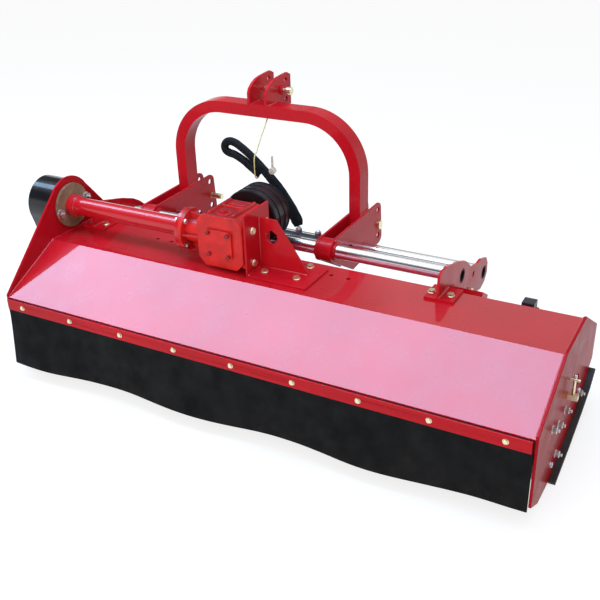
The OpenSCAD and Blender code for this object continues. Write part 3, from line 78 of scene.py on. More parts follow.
def add_camera():
    azimuth, elevation, roll = (math.radians(a) for a in (CAMERA_AZIMUTH, CAMERA_ELEVATION, CAMERA_ROLL))
    ahead = Vector((-math.sin(azimuth) * math.cos(elevation), math.cos(azimuth) * math.cos(elevation),
                    -math.sin(elevation)))
    level = Vector((math.cos(azimuth), math.sin(azimuth), 0))
    upright = level.cross(ahead)
    right = level * math.cos(roll) - upright * math.sin(roll)
    up = level * math.sin(roll) + upright * math.cos(roll)
    data = bpy.data.cameras.new("camera")
    data.sensor_width = SENSOR_MM
    data.lens = CAMERA_FOCAL_PX / IMAGE_PX * SENSOR_MM
    camera = bpy.data.objects.new("camera", data)
    turn = Matrix((right, up, -ahead)).transposed().to_4x4()
    camera.matrix_world = Matrix.Translation(deck(*CAMERA_PLACE_MM)) @ turn
    scene.collection.objects.link(camera)
    scene.camera = camera


# Node helpers


def math_node(tree, operation, a, b=0):
    """The result of a Math node. a and b are numbers or sockets."""
    node = tree.nodes.new("ShaderNodeMath")
    node.operation = operation
    for value, socket in zip((a, b), node.inputs):
        if isinstance(value, (int, float)):
            socket.default_value = value
        else:
            tree.links.new(value, socket)
    return node.outputs[0]


def map_range(tree, value, start, end, low, high):
    """A socket's value, mapped from start..end to low..high."""
    node = tree.nodes.new("ShaderNodeMapRange")
    for name, number in zip(("From Min", "From Max", "To Min", "To Max"), (start, end, low, high)):
        node.inputs[name].default_value = number
    tree.links.new(value, node.inputs["Value"])
    return node.outputs[0]


# Stage and light

FLOOR_SIZE = 60
FLOOR_COLOUR = (0.36, 0.36, 0.36, 1)
FLOOR_LIFT = 0.76
SKY_STRENGTH = 0.55
HORIZON_TOP = (0.14, 0.30)
CEILING_EDGE = (0.58, 0.75)
DARK_HALF = 0.1
DARK_HALF_SLANT = 0.466
DARK_HALF_EDGE = (-0.04, 0.05)
SOFTBOX_PLACE_MM = (-180, 310, 2200)
SOFTBOX_TARGET_MM = (-180, 311, 0)
SOFTBOX_SIZE = (4.2, 0.70)
SOFTBOX_POWER = 71
SOFTBOX_TINT = (0.43, 0.69, 1.06)
FRONT_LAMP_PLACE_MM = (800, -3600, 1500)
FRONT_LAMP_TARGET_MM = (885, 300, 250)
FRONT_LAMP_SIZE = (3.0, 2.0)
FRONT_LAMP_POWER = 70


def seen_ray(tree):
    """1 for rays that show the background: from the camera, off gloss and through glass."""
    path = tree.nodes.new("ShaderNodeLightPath")
    both = math_node(tree, "MAXIMUM", path.outputs["Is Camera Ray"], path.outputs["Is Glossy Ray"])
    return math_node(tree, "MAXIMUM", both, path.outputs["Is Transmission Ray"])


def add_floor():
    bpy.ops.mesh.primitive_plane_add(size=FLOOR_SIZE, location=(0, 0, 0))
    floor = bpy.context.object
    floor.name = "floor"
    material = bpy.data.materials.new("floor")
    material.use_nodes = True
    tree = material.node_tree
    tree.nodes.clear()
    matt = tree.nodes.new("ShaderNodeBsdfDiffuse")
    matt.inputs["Color"].default_value = FLOOR_COLOUR
    glow = tree.nodes.new("ShaderNodeEmission")
    tree.links.new(math_node(tree, "MULTIPLY", seen_ray(tree), FLOOR_LIFT), glow.inputs["Strength"])
    both = tree.nodes.new("ShaderNodeAddShader")
    tree.links.new(matt.outputs[0], both.inputs[0])
    tree.links.new(glow.outputs[0], both.inputs[1])
    out = tree.nodes.new("ShaderNodeOutputMaterial")
    tree.links.new(both.outputs[0], out.inputs["Surface"])
    floor.data.materials.append(material)


def add_world():
    """A soft grey room, white to the camera. To gloss it has a white horizon and ceiling, and one half is dark."""
    world = bpy.data.worlds.new("studio")
    world.use_nodes = True
    tree = world.node_tree
    background = tree.nodes["Background"]
    background.inputs["Color"].default_value = (1, 1, 1, 1)
    way = tree.nodes.new("ShaderNodeSeparateXYZ")
    tree.links.new(tree.nodes.new("ShaderNodeTexCoord").outputs["Generated"], way.inputs[0])
    slant = math_node(tree, "MULTIPLY", way.outputs["Y"], DARK_HALF_SLANT)
    half = map_range(tree, math_node(tree, "ADD", way.outputs["X"], slant), *DARK_HALF_EDGE, DARK_HALF, SKY_STRENGTH)
    horizon = map_range(tree, way.outputs["Z"], *HORIZON_TOP, 1, 0)
    ceiling = map_range(tree, way.outputs["Z"], *CEILING_EDGE, 0, 1)
    wall = math_node(tree, "MAXIMUM", ceiling, math_node(tree, "MAXIMUM", horizon, half))
    path = tree.nodes.new("ShaderNodeLightPath")
    gloss = path.outputs["Is Glossy Ray"]
    to_gloss = math_node(tree, "MULTIPLY", gloss, wall)
    to_rest = math_node(tree, "MULTIPLY", math_node(tree, "SUBTRACT", 1, gloss), SKY_STRENGTH)
    seen = math_node(tree, "MAXIMUM", path.outputs["Is Camera Ray"], path.outputs["Is Transmission Ray"])
    strength = math_node(tree, "MAXIMUM", seen, math_node(tree, "ADD", to_gloss, to_rest))
    tree.links.new(strength, background.inputs["Strength"])
    scene.world = world


def add_lamp(name, place_mm, target_mm, size, power, tint=(1, 1, 1)):
    data = bpy.data.lights.new(name, "AREA")
    data.shape = "RECTANGLE"
    data.size, data.size_y = size
    data.energy = power
    data.color = tint
    lamp = bpy.data.objects.new(name, data)
    place = deck(*place_mm)
    aim = (deck(*target_mm) - place).to_track_quat("-Z", "Y").to_matrix().to_4x4()
    lamp.matrix_world = Matrix.Translation(place) @ aim
    lamp.visible_camera = False
    scene.collection.objects.link(lamp)
    return lamp


def add_stage():
    scene.view_settings.view_transform = "Standard"
    add_world()
    add_floor()
    add_lamp("softbox", SOFTBOX_PLACE_MM, SOFTBOX_TARGET_MM, SOFTBOX_SIZE, SOFTBOX_POWER, SOFTBOX_TINT)
    fill = add_lamp("front_lamp", FRONT_LAMP_PLACE_MM, FRONT_LAMP_TARGET_MM, FRONT_LAMP_SIZE, FRONT_LAMP_POWER)
    fill.visible_glossy = False


# Materials

PAINT_GREEN_SHARE = 0.011
PAINT_BLUE_SHARE = 0.024
PAINT_DUST = (0.50, 0.30, 0.27)
ZINC_TONES = [(0.3, (0.55, 0.55, 0.57)), (0.7, (0.76, 0.76, 0.75))]
REAR_BAR_MM = (588, 371)
FRONT_BAR_MM = (814, 284)
BAR_INNER_R_MM = 17
BAR_CHROME_FROM_MM = (1, 1.5)
COVER_SCREWS_END_MM = (296, 300)
MIX_A, MIX_B, MIX_RESULT = 6, 7, 2  # colour sockets of the Mix node


class Finish:
    """A procedural material under construction, with its Principled shader and object coordinates."""

    def __init__(self, name, roughness, metallic=0.0, coat=0.0, coat_roughness=0.03, sheen=0.0, gloss=0.5):
        self.material = bpy.data.materials.new(name)
        self.material.use_nodes = True
        self.tree = self.material.node_tree
        self.shader = self.tree.nodes["Principled BSDF"]
        self.shader.inputs["Roughness"].default_value = roughness
        self.shader.inputs["Metallic"].default_value = metallic
        self.shader.inputs["Coat Weight"].default_value = coat
        self.shader.inputs["Coat Roughness"].default_value = coat_roughness
        self.shader.inputs["Sheen Weight"].default_value = sheen
        self.shader.inputs["Specular IOR Level"].default_value = gloss
        self.place = self.tree.nodes.new("ShaderNodeTexCoord").outputs["Object"]

    def link(self, a, b):
        self.tree.links.new(a, b)

    def stretched(self, scale):
        """Object coordinates scaled by a factor along each axis."""
        mapping = self.tree.nodes.new("ShaderNodeMapping")
        mapping.inputs["Scale"].default_value = scale
        self.link(self.place, mapping.inputs["Vector"])
        return mapping.outputs[0]

    def noise(self, scale, detail=4.0, rough=0.55, place=None):
        node = self.tree.nodes.new("ShaderNodeTexNoise")
        node.inputs["Scale"].default_value = scale
        node.inputs["Detail"].default_value = detail
        node.inputs["Roughness"].default_value = rough
        self.link(place or self.place, node.inputs["Vector"])
        return node.outputs["Fac"]

    def wave(self, scale, direction, distortion=0.0):
        node = self.tree.nodes.new("ShaderNodeTexWave")
        node.bands_direction = direction
        node.inputs["Scale"].default_value = scale
        node.inputs["Distortion"].default_value = distortion
        self.link(self.place, node.inputs["Vector"])
        return node.outputs["Fac"]

    def math(self, operation, a, b=0):
        return math_node(self.tree, operation, a, b)

    def spread(self, value, low, high, start=0.3, end=0.7):
        """value mapped from start..end to low..high."""
        return map_range(self.tree, value, start, end, low, high)

    def ramp(self, value, stops):
        node = self.tree.nodes.new("ShaderNodeValToRGB")
        ramp = node.color_ramp
        while len(ramp.elements) < len(stops):
            ramp.elements.new(0.5)
        for element, (place, colour) in zip(ramp.elements, stops):
            element.position = place
            element.color = (*colour, 1)
        self.link(value, node.inputs["Fac"])
        return node.outputs["Color"]

    def mix(self, share, a, b):
        node = self.tree.nodes.new("ShaderNodeMix")
        node.data_type = "RGBA"
        self.link(share, node.inputs["Factor"])
        for value, socket in ((a, node.inputs[MIX_A]), (b, node.inputs[MIX_B])):
            if isinstance(value, tuple):
                socket.default_value = (*value, 1)
            else:
                self.link(value, socket)
        return node.outputs[MIX_RESULT]

    def along(self, axis):
        """Place along an axis of the row frame, in metres."""
        split = self.tree.nodes.new("ShaderNodeSeparateXYZ")
        self.link(self.place, split.inputs[0])
        return split.outputs[axis]

    def facing(self, axis):
        """1 where the surface faces along the axis, either way, and 0 where it faces across it."""
        split = self.tree.nodes.new("ShaderNodeSeparateXYZ")
        self.link(self.tree.nodes.new("ShaderNodeTexCoord").outputs["Normal"], split.inputs[0])
        return self.math("ABSOLUTE", split.outputs[axis])

    def off_axis(self, point):
        """Distance from a line along X through a point, in metres."""
        y = self.math("SUBTRACT", self.along("Y"), point.y)
        z = self.math("SUBTRACT", self.along("Z"), point.z)
        return self.math("SQRT", self.math("ADD", self.math("MULTIPLY", y, y), self.math("MULTIPLY", z, z)))

    def colour(self, value):
        self.link(value, self.shader.inputs["Base Color"])

    def roughness(self, value):
        self.link(value, self.shader.inputs["Roughness"])

    def bump(self, value, depth_mm, strength=0.5):
        node = self.tree.nodes.new("ShaderNodeBump")
        node.inputs["Strength"].default_value = strength
        node.inputs["Distance"].default_value = depth_mm * MM
        self.link(value, node.inputs["Height"])
        self.link(node.outputs[0], self.shader.inputs["Normal"])


def shades(colour, low, high):
    """A darker and a lighter tone of one colour."""
    return tuple(c * low for c in colour), tuple(min(c * high, 1) for c in colour)


def enamel(name, coat, coat_roughness, gloss, red=0.56):
    """Red paint, more or less glossy."""
    f = Finish(name, 0.3, coat=coat, coat_roughness=coat_roughness, gloss=gloss)
    dark, light = shades((red, PAINT_GREEN_SHARE * red, PAINT_BLUE_SHARE * red), 0.88, 1.08)
    tone = f.ramp(f.noise(3.5), [(0.3, dark), (0.7, light)])
    dust = f.spread(f.noise(60, detail=8, rough=0.7), 0, 0.025, 0.45, 0.9)
    f.colour(f.mix(dust, tone, PAINT_DUST))
    f.roughness(f.spread(f.noise(14, detail=6), 0.24, 0.38))
    f.bump(f.noise(260, detail=2), depth_mm=0.10, strength=0.14)
    return f.material


def red_paint():
    return enamel("red_paint", coat=1.0, coat_roughness=0.03, gloss=0.2)


def dull_red_paint():
    return enamel("dull_red_paint", coat=0.18, coat_roughness=0.10, gloss=0.1)


def shaded_side_paint():
    # Darker red than the other parts, as painted shade on the side plates.
    return enamel("shaded_side_paint", coat=0.10, coat_roughness=0.08, gloss=0.015, red=0.46)


def gearbox_paint():
    """Paint on castings, darker on faces pointing up and down: oil and dust on top, painted shade underneath."""
    f = Finish("gearbox_paint", 0.4, coat=0.25, coat_roughness=0.2, gloss=0.3)
    dark, light = shades((0.74, 0.020, 0.016), 0.72, 1.06)
    tone = f.ramp(f.noise(22, detail=6), [(0.3, dark), (0.65, light)])
    # Darker on up and down faces: oil and dust on top, painted shade underneath.
    dirt_and_under_shade = f.math("MULTIPLY", f.spread(f.facing("Z"), 0, 0.95, 0.6, 0.9),
                   f.spread(f.noise(40, detail=7, rough=0.7), 0.7, 1.0, 0.35, 0.7))
    f.colour(f.mix(dirt_and_under_shade, tone, (0.20, 0.007, 0.012)))
    f.roughness(f.spread(f.noise(60), 0.3, 0.5))
    f.bump(f.noise(190, detail=5, rough=0.65), depth_mm=0.5, strength=0.5)
    return f.material


def black_rubber():
    f = Finish("black_rubber", 0.7, gloss=0.12)
    streaks = f.noise(9, detail=7, rough=0.65, place=f.stretched((1, 1, 0.35)))
    tone = f.ramp(streaks, [(0.3, (0.004, 0.004, 0.0043)), (0.75, (0.012, 0.012, 0.0125))])
    dusty = f.math("MULTIPLY", f.spread(f.along("Z"), 0.10, 0.0, 0.04, 0.16),
                   f.spread(f.noise(24, detail=8, rough=0.7), 0, 1, 0.45, 0.8))
    f.colour(f.mix(dusty, tone, (0.11, 0.085, 0.06)))
    f.roughness(f.spread(f.noise(17, detail=5), 0.55, 0.85))
    f.bump(f.math("ADD", f.noise(700, detail=3), f.wave(95, "X", 1.5)), depth_mm=0.25, strength=0.28)
    return f.material


def yellow_zinc():
    f = Finish("yellow_zinc", 0.3, metallic=1.0)
    f.colour(f.ramp(f.noise(85, detail=3), [(0.3, (0.74, 0.63, 0.36)), (0.5, (0.86, 0.78, 0.54)),
                                            (0.62, (0.82, 0.70, 0.48)), (0.75, (0.76, 0.75, 0.50))]))
    f.roughness(f.spread(f.noise(240), 0.22, 0.45))
    f.bump(f.noise(900, detail=2), depth_mm=0.05, strength=0.3)
    return f.material


def pale_zinc():
    """Dull plating on the hydraulic parts."""
    f = Finish("pale_zinc", 0.38, metallic=0.45, gloss=0.6)
    f.colour(f.ramp(f.noise(60, detail=4), [(0.3, (0.60, 0.57, 0.44)), (0.7, (0.82, 0.79, 0.64))]))
    f.roughness(f.spread(f.noise(220), 0.3, 0.5))
    f.bump(f.noise(800, detail=2), depth_mm=0.05, strength=0.3)
    return f.material


def bright_zinc():
    f = Finish("bright_zinc", 0.32, metallic=1.0)
    f.colour(f.ramp(f.noise(70, detail=5), ZINC_TONES))
    f.roughness(f.spread(f.noise(200), 0.25, 0.45))
    f.bump(f.noise(800, detail=2), depth_mm=0.05, strength=0.3)
    return f.material


def polished(name, axis_mm=None):
    """Chromed steel. axis_mm is the (Y, Z) axis of a slide bar, whose unplated inside and ends carry painted shade."""
    f = Finish(name, 0.2, metallic=1.0)
    scuff = f.noise(30, detail=8, rough=0.75, place=f.stretched((0.15, 6, 6)))
    tone = f.ramp(scuff, [(0.35, (0.84, 0.85, 0.87)), (0.7, (0.92, 0.92, 0.93))])
    roughness = f.spread(scuff, 0.15, 0.26, 0.4, 0.75)
    if axis_mm:
        edge = [(BAR_INNER_R_MM + out) * MM for out in BAR_CHROME_FROM_MM]
        inside = f.spread(f.off_axis(deck(0, *axis_mm)), 1, 0, *edge)
        unplated_and_shaded = f.math("MAXIMUM", inside, f.spread(f.facing("X"), 0, 1, 0.8, 0.95))
        # Unplated steel, near black as painted shade in the bore and on the end faces.
        shaded_unplated_tone = f.ramp(f.noise(120), [(0.3, (0.030, 0.022, 0.020)), (0.7, (0.075, 0.058, 0.05))])
        tone = f.mix(unplated_and_shaded, tone, shaded_unplated_tone)
        roughness = f.math("ADD", roughness, f.math("MULTIPLY", unplated_and_shaded, 0.5))
    f.colour(tone)
    f.roughness(roughness)
    f.bump(f.noise(160, detail=6, place=f.stretched((0.05, 4, 4))), depth_mm=0.02, strength=0.12)
    return f.material


def screw_finish():
    """Clear zinc, and dark red paint on the screws of the rear cover, darker than the casting's as painted shade."""
    f = Finish("screw_finish", 0.35, metallic=1.0)
    painted = f.spread(f.along("Y"), 1, 0, *(deck(0, y, 0).y for y in COVER_SCREWS_END_MM))
    zinc = f.ramp(f.noise(70, detail=5), ZINC_TONES)
    # Red paint, darker than the casting's as painted shade.
    paint = f.ramp(f.noise(60, detail=4), [(0.3, (0.20, 0.008, 0.007)), (0.7, (0.36, 0.012, 0.010))])
    f.colour(f.mix(painted, zinc, paint))
    f.link(f.spread(painted, 1, 0, 0, 1), f.shader.inputs["Metallic"])
    f.roughness(f.spread(f.noise(200), 0.28, 0.5))
    f.bump(f.noise(500, detail=3), depth_mm=0.1, strength=0.3)
    return f.material


def chrome():
    return polished("chrome")


def rear_bar_chrome():
    return polished("rear_bar_chrome", REAR_BAR_MM)


def front_bar_chrome():
    return polished("front_bar_chrome", FRONT_BAR_MM)


def black_plastic():
    f = Finish("black_plastic", 0.36, coat=0.45, coat_roughness=0.12, gloss=0.2)
    f.colour(f.ramp(f.noise(12, detail=6), [(0.3, (0.004, 0.004, 0.005)), (0.7, (0.011, 0.011, 0.012))]))
    f.roughness(f.spread(f.noise(30, detail=6), 0.26, 0.45))
    f.bump(f.noise(520, detail=3), depth_mm=0.12, strength=0.2)
    return f.material


def gloss_black():
    f = Finish("gloss_black", 0.2, coat=0.5, coat_roughness=0.05, gloss=0.2)
    f.colour(f.ramp(f.noise(12, detail=6), [(0.3, (0.005, 0.005, 0.006)), (0.7, (0.011, 0.011, 0.012))]))
    f.roughness(f.spread(f.noise(26, detail=6), 0.14, 0.3))
    f.bump(f.noise(420, detail=2), depth_mm=0.08, strength=0.15)
    return f.material


def black_paint():
    f = Finish("black_paint", 0.42)
    f.colour(f.ramp(f.noise(30, detail=7, rough=0.7), [(0.3, (0.010, 0.010, 0.010)), (0.62, (0.022, 0.022, 0.023)),
                                                       (0.85, (0.055, 0.048, 0.042))]))
    f.roughness(f.spread(f.noise(45, detail=6), 0.3, 0.6))
    f.bump(f.noise(380, detail=3), depth_mm=0.12, strength=0.25)
    return f.material


def tan_casting():
    f = Finish("tan_casting", 0.6)
    f.colour(f.ramp(f.noise(32, detail=7), [(0.3, (0.17, 0.098, 0.05)), (0.7, (0.31, 0.20, 0.105))]))
    f.roughness(f.spread(f.noise(50), 0.5, 0.75))
    f.bump(f.noise(230, detail=5, rough=0.65), depth_mm=0.4, strength=0.5)
    return f.material


def bearing_iron():
    f = Finish("bearing_iron", 0.55, metallic=0.4)
    f.colour(f.ramp(f.noise(28, detail=7), [(0.3, (0.07, 0.075, 0.085)), (0.7, (0.14, 0.15, 0.165))]))
    f.roughness(f.spread(f.noise(60), 0.45, 0.7))
    f.bump(f.noise(240, detail=5, rough=0.65), depth_mm=0.4, strength=0.5)
    return f.material


def machined_steel():
    f = Finish("machined_steel", 0.25, metallic=1.0)
    rings = f.noise(60, detail=5, place=f.stretched((8, 1, 1)))
    f.colour(f.ramp(rings, [(0.3, (0.44, 0.44, 0.45)), (0.7, (0.62, 0.62, 0.63))]))
    f.roughness(f.spread(rings, 0.18, 0.38))
    f.bump(f.noise(420, detail=3, place=f.stretched((4, 1, 1))), depth_mm=0.05, strength=0.25)
    return f.material


def forged_steel():
    f = Finish("forged_steel", 0.5, metallic=0.8)
    f.colour(f.ramp(f.noise(24, detail=8, rough=0.7), [(0.3, (0.10, 0.095, 0.09)), (0.6, (0.20, 0.195, 0.19)),
                                                       (0.8, (0.22, 0.15, 0.10))]))
    f.roughness(f.spread(f.noise(50), 0.38, 0.65))
    f.bump(f.noise(180, detail=6, rough=0.7), depth_mm=0.5, strength=0.5)
    return f.material


def hose_sleeve():
    f = Finish("hose_sleeve", 0.75, sheen=0.03, gloss=0.15)
    weave = f.math("MULTIPLY", f.wave(150, "X"), f.wave(150, "Z"))
    f.colour(f.ramp(f.noise(45, detail=6), [(0.3, (0.004, 0.004, 0.0045)), (0.7, (0.014, 0.014, 0.015))]))
    f.roughness(f.spread(f.noise(90), 0.6, 0.9))
    f.bump(f.math("ADD", weave, f.noise(120, detail=5)), depth_mm=0.8, strength=0.6)
    return f.material


def cord_fibre():
    f = Finish("cord_fibre", 0.7, sheen=0.2)
    f.colour(f.ramp(f.noise(260, detail=5, rough=0.7), [(0.3, (0.50, 0.38, 0.12)), (0.7, (0.80, 0.68, 0.32))]))
    f.roughness(f.spread(f.noise(300), 0.6, 0.85))
    f.bump(f.noise(1500, detail=3), depth_mm=0.2, strength=0.5)
    return f.material


FINISHES = {make.__name__: make() for make in (
    red_paint, dull_red_paint, shaded_side_paint, gearbox_paint, black_rubber, yellow_zinc, pale_zinc, bright_zinc,
    screw_finish, chrome, rear_bar_chrome, front_bar_chrome, black_plastic, gloss_black, black_paint, tan_casting,
    bearing_iron, machined_steel, forged_steel, hose_sleeve, cord_fibre)}
DULL_PAINT = ("flap_strips", "arch_frame", "left_hitch_plates", "right_hitch_plates", "top_link_plates",
              "left_bar_bracket", "right_bar_bracket", "gearbox_bracket", "stand_socket", "slide_bushes")
OWN_FINISH = {"gearbox_screws": "screw_finish", "rear_bar": "rear_bar_chrome", "front_bar": "front_bar_chrome",
              "belt_cover": "gloss_black", "breather_plug": "gearbox_paint", "hose_coupler": "pale_zinc",
              "lower_link_pins": "yellow_zinc", "left_side_plate": "shaded_side_paint", "right_side_plate": "shaded_side_paint"}
OWN_FINISH.update({node: "dull_red_paint" for node in DULL_PAINT})


def dress(obj, finish):
    """Gives a piece or CAD node one of the finishes."""
    obj.data.materials.clear()
    obj.data.materials.append(FINISHES[finish])


# Soft edges on the CAD nodes

HAMMER_EDGE_MM = 1.5
EDGE_MM = {"left_side_plate": 1.6, "right_side_plate": 1.6, "arch_frame": 5.0, "gearbox_housing": 4.0,
           "pto_guard": 1.8, "belt_cover": 1.2}
EDGE_MM.update({f"hammers_row_{row}": HAMMER_EDGE_MM for row in (1, 2, 3, 4)})
EDGE_DEFAULT_MM = 1.0
UNSOFTENED = ("deck_shell", "gearbox_cover", "rear_roller")
EDGE_ANGLE = 38
EDGE_SEGMENTS = 2
MERGE_MM = 0.01
NORMAL_WEIGHT = 100


def soften(obj, width_mm):
    """Rounds the sharp edges of a piece by a small radius."""
    weld = obj.modifiers.new("weld", "WELD")
    weld.merge_threshold = MERGE_MM * MM
    bevel = obj.modifiers.new("bevel", "BEVEL")
    bevel.width = width_mm * MM
    bevel.segments = EDGE_SEGMENTS
    bevel.limit_method = "ANGLE"
    bevel.angle_limit = math.radians(EDGE_ANGLE)
    normals = obj.modifiers.new("normals", "WEIGHTED_NORMAL")
    normals.weight = NORMAL_WEIGHT
    normals.keep_sharp = True


def dress_nodes():
    for part in frame["record"]["subparts"]:
        node = part["node"]
        dress(nodes[node], OWN_FINISH.get(node, part["material_slot"]))
        if node not in UNSOFTENED:
            soften(nodes[node], EDGE_MM.get(node, EDGE_DEFAULT_MM))


# Mesh helpers


def add_piece(name, vertices, faces, body, slot, smooth=True):
    mesh = bpy.data.meshes.new(name)
    mesh.from_pydata(vertices, [], faces)
    build = bmesh.new()
    build.from_mesh(mesh)
    bmesh.ops.recalc_face_normals(build, faces=build.faces)
    build.to_mesh(mesh)
    build.free()
    for face in mesh.polygons:
        face.use_smooth = smooth
    obj = bpy.data.objects.new(name, mesh)
    scene.collection.objects.link(obj)
    dress(obj, slot)
    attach(obj, body)
    return obj


def joined(meshes):
    """Vertices and faces of several meshes as one."""
    vertices, faces = [], []
    for more, around in meshes:
        start = len(vertices)
        vertices += more
        faces += [tuple(start + k for k in face) for face in around]
    return vertices, faces


def ease(t):
    """0 to 1, slow at both ends."""
    return t * t * (3 - 2 * t)


def circle(sides, r_across, r_deep):
    """Points of a round or oval section."""
    turns = [2 * math.pi * k / sides for k in range(sides)]
    return [(r_across * math.cos(turn), r_deep * math.sin(turn)) for turn in turns]


def smooth_path(points, steps):
    """A curve through the points, with a number of steps between each two."""
    ends = [2 * points[0] - points[1]] + points + [2 * points[-1] - points[-2]]
    path = []
    for a, b, c, d in zip(ends, ends[1:], ends[2:], ends[3:]):
        for k in range(steps):
            t = k / steps
            path.append(0.5 * (2 * b + (c - a) * t + (2 * a - 5 * b + 4 * c - d) * t ** 2
                               + (3 * b - a - 3 * c + d) * t ** 3))
    return path + [points[-1]]


def lengths_along(path):
    """Distance along a path from its start to each of its points."""
    lengths = [0.0]
    for a, b in zip(path, path[1:]):
        lengths.append(lengths[-1] + (b - a).length)
    return lengths


def sweep(path, outline, guide):
    """Vertices and faces of a tube along a path.

    outline(i, share) gives the section's points at point i, as distances across the guide and along it.
    """
    rings = []
    for i, point in enumerate(path):
        ahead = (path[min(i + 1, len(path) - 1)] - path[max(i - 1, 0)]).normalized()
        across = ahead.cross(guide).normalized()
        deep = across.cross(ahead)
        rings.append([point + across * a + deep * b for a, b in outline(i, i / (len(path) - 1))])
    sides = len(rings[0])
    vertices = [p for ring in rings for p in ring]
    faces = [(i * sides + k, i * sides + (k + 1) % sides, (i + 1) * sides + (k + 1) % sides, (i + 1) * sides + k)
             for i in range(len(rings) - 1) for k in range(sides)]
    faces += [tuple(range(sides)), tuple((len(rings) - 1) * sides + k for k in range(sides))]
    return vertices, faces


# Rubber flaps, hanging from their strips in slack waves

DECK_WIDTH_MM = 1770
FLAP_COLUMNS = 176
FLAP_ROWS = 26
FLAP_THICK_MM = 6
FLAP_EDGE_MM = 0.8
FLAP_CURVE = 1.3
FLAP_LEAN = 0.65
FLAP_PHASE_MM = 100
FLAP_WAVE_LEN_MM = 620
FLAP_PULL_MM = 20
FLAP_END_GAP_MM = 9
FLAP_FADE_MM = 190
RIPPLE_MM = 2.2
RIPPLE_LEN_MM = 170
RIPPLE_GROWTH = 3
SAG_ROW = 7.3


def flap(name, node, face_mm, top_mm, held_mm, bottom_mm, swing_mm, wave_mm):
    """A rubber sheet held flat down to held_mm, swinging towards the rear below it."""
    width = DECK_WIDTH_MM - 2 * FLAP_END_GAP_MM

    def point(i, j, depth_mm):
        share = i / FLAP_COLUMNS
        x = FLAP_END_GAP_MM + width * share
        z = top_mm + (bottom_mm - top_mm) * j / FLAP_ROWS
        grow = max(0.0, (held_mm - z) / (held_mm - bottom_mm)) ** FLAP_CURVE
        bulge = swing_mm * (1 - FLAP_LEAN * x / DECK_WIDTH_MM)
        bulge += wave_mm * math.cos(2 * math.pi * (x - FLAP_PHASE_MM) / FLAP_WAVE_LEN_MM)
        bulge *= ease(min(1.0, (DECK_WIDTH_MM - x) / FLAP_FADE_MM))
        ripple = RIPPLE_MM * noise.noise(Vector((x / RIPPLE_LEN_MM, z / RIPPLE_LEN_MM, face_mm)))
        sag = RIPPLE_MM * noise.noise(Vector((x / RIPPLE_LEN_MM, SAG_ROW, face_mm)))
        y = face_mm - grow * bulge + min(1.0, RIPPLE_GROWTH * grow) * ripple + depth_mm
        return deck(x + FLAP_PULL_MM * grow * (1 - share), y, z + grow * sag)

    across = FLAP_COLUMNS + 1
    count = across * (FLAP_ROWS + 1)
    vertices = [point(i, j, d) for d in (0, FLAP_THICK_MM) for j in range(FLAP_ROWS + 1) for i in range(across)]
    faces = []
    for j in range(FLAP_ROWS):
        for i in range(FLAP_COLUMNS):
            a = j * across + i
            faces.append((a, a + 1, a + across + 1, a + across))
            faces.append(tuple(count + k for k in (a, a + across, a + across + 1, a + 1)))
    rim = (list(range(across)) + [j * across + FLAP_COLUMNS for j in range(1, FLAP_ROWS + 1)]
           + [FLAP_ROWS * across + i for i in range(FLAP_COLUMNS - 1, -1, -1)]
           + [j * across for j in range(FLAP_ROWS - 1, 0, -1)])
    for a, b in zip(rim, rim[1:] + rim[:1]):
        faces.append((a, count + a, count + b, b))
    obj = add_piece(name, vertices, faces, "deck", "black_rubber")
    soften(obj, FLAP_EDGE_MM)
    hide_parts(node)


def add_flaps():
    flap("rear_rubber_flap", "rear_flap", face_mm=-6, top_mm=267, held_mm=228, bottom_mm=44, swing_mm=26,
         wave_mm=12)
    flap("front_rubber_flap", "front_flap", face_mm=636, top_mm=256, held_mm=183, bottom_mm=80, swing_mm=6,
         wave_mm=5)


# Hydraulic hoses in their sleeve, folded back and tied up under the arch

HOSE_ROUTE_MM = [(724, 701.5, 382.4), (714, 704, 403), (702, 705, 424), (689, 706, 446), (674, 706, 468),
                 (659, 706, 490), (643, 706, 511), (625, 706, 531), (606, 706, 550), (586, 706, 569),
                 (566, 706, 588), (545, 706, 606), (523, 706, 623), (500, 706, 638), (478, 706, 650),
                 (457, 706, 654), (440, 706, 647), (432, 706, 632), (437, 706, 618), (452, 706, 611),
                 (472, 706, 607), (491, 706, 599), (512, 706, 588), (532, 706, 573.5), (552.5, 706, 559.5),
                 (569, 706, 544)]
HOSE_W_MM = 29
HOSE_FLAT_MM = 48
HOSE_D_MM = 24
HOSE_SIDES = 28
HOSE_STEPS = 8
HOSE_FLAT_SHARE = 0.5
HOSE_END_SHARE = 0.72
HOSE_END_GROWTH = 9
CREASE_SHARE = 0.035
CREASE_SCALE = 70
GROOVE_SHARE = 0.16
GROOVE_WIDTH = 0.22
CORD_ROUTE_MM = [(546, 820, 720.5), (548.5, 800, 703), (551, 778, 685), (553.5, 757, 668), (556, 738, 652),
                 (558, 722, 637), (559.5, 711, 627), (560.5, 699, 620), (561, 691.5, 607), (561, 690, 588),
                 (561, 690, 566), (561, 690.5, 551), (561, 693, 541), (561, 699, 535), (561, 707, 533.5),
                 (561, 715, 536), (561, 719.5, 543), (561, 720.6, 554)]
CORD_R_MM = 2.3
CORD_STRANDS = 3
CORD_LAY_MM = 16
CORD_SIDES = 18
CORD_STEPS = 14
CORD_HOLLOW_SHARE = 0.16


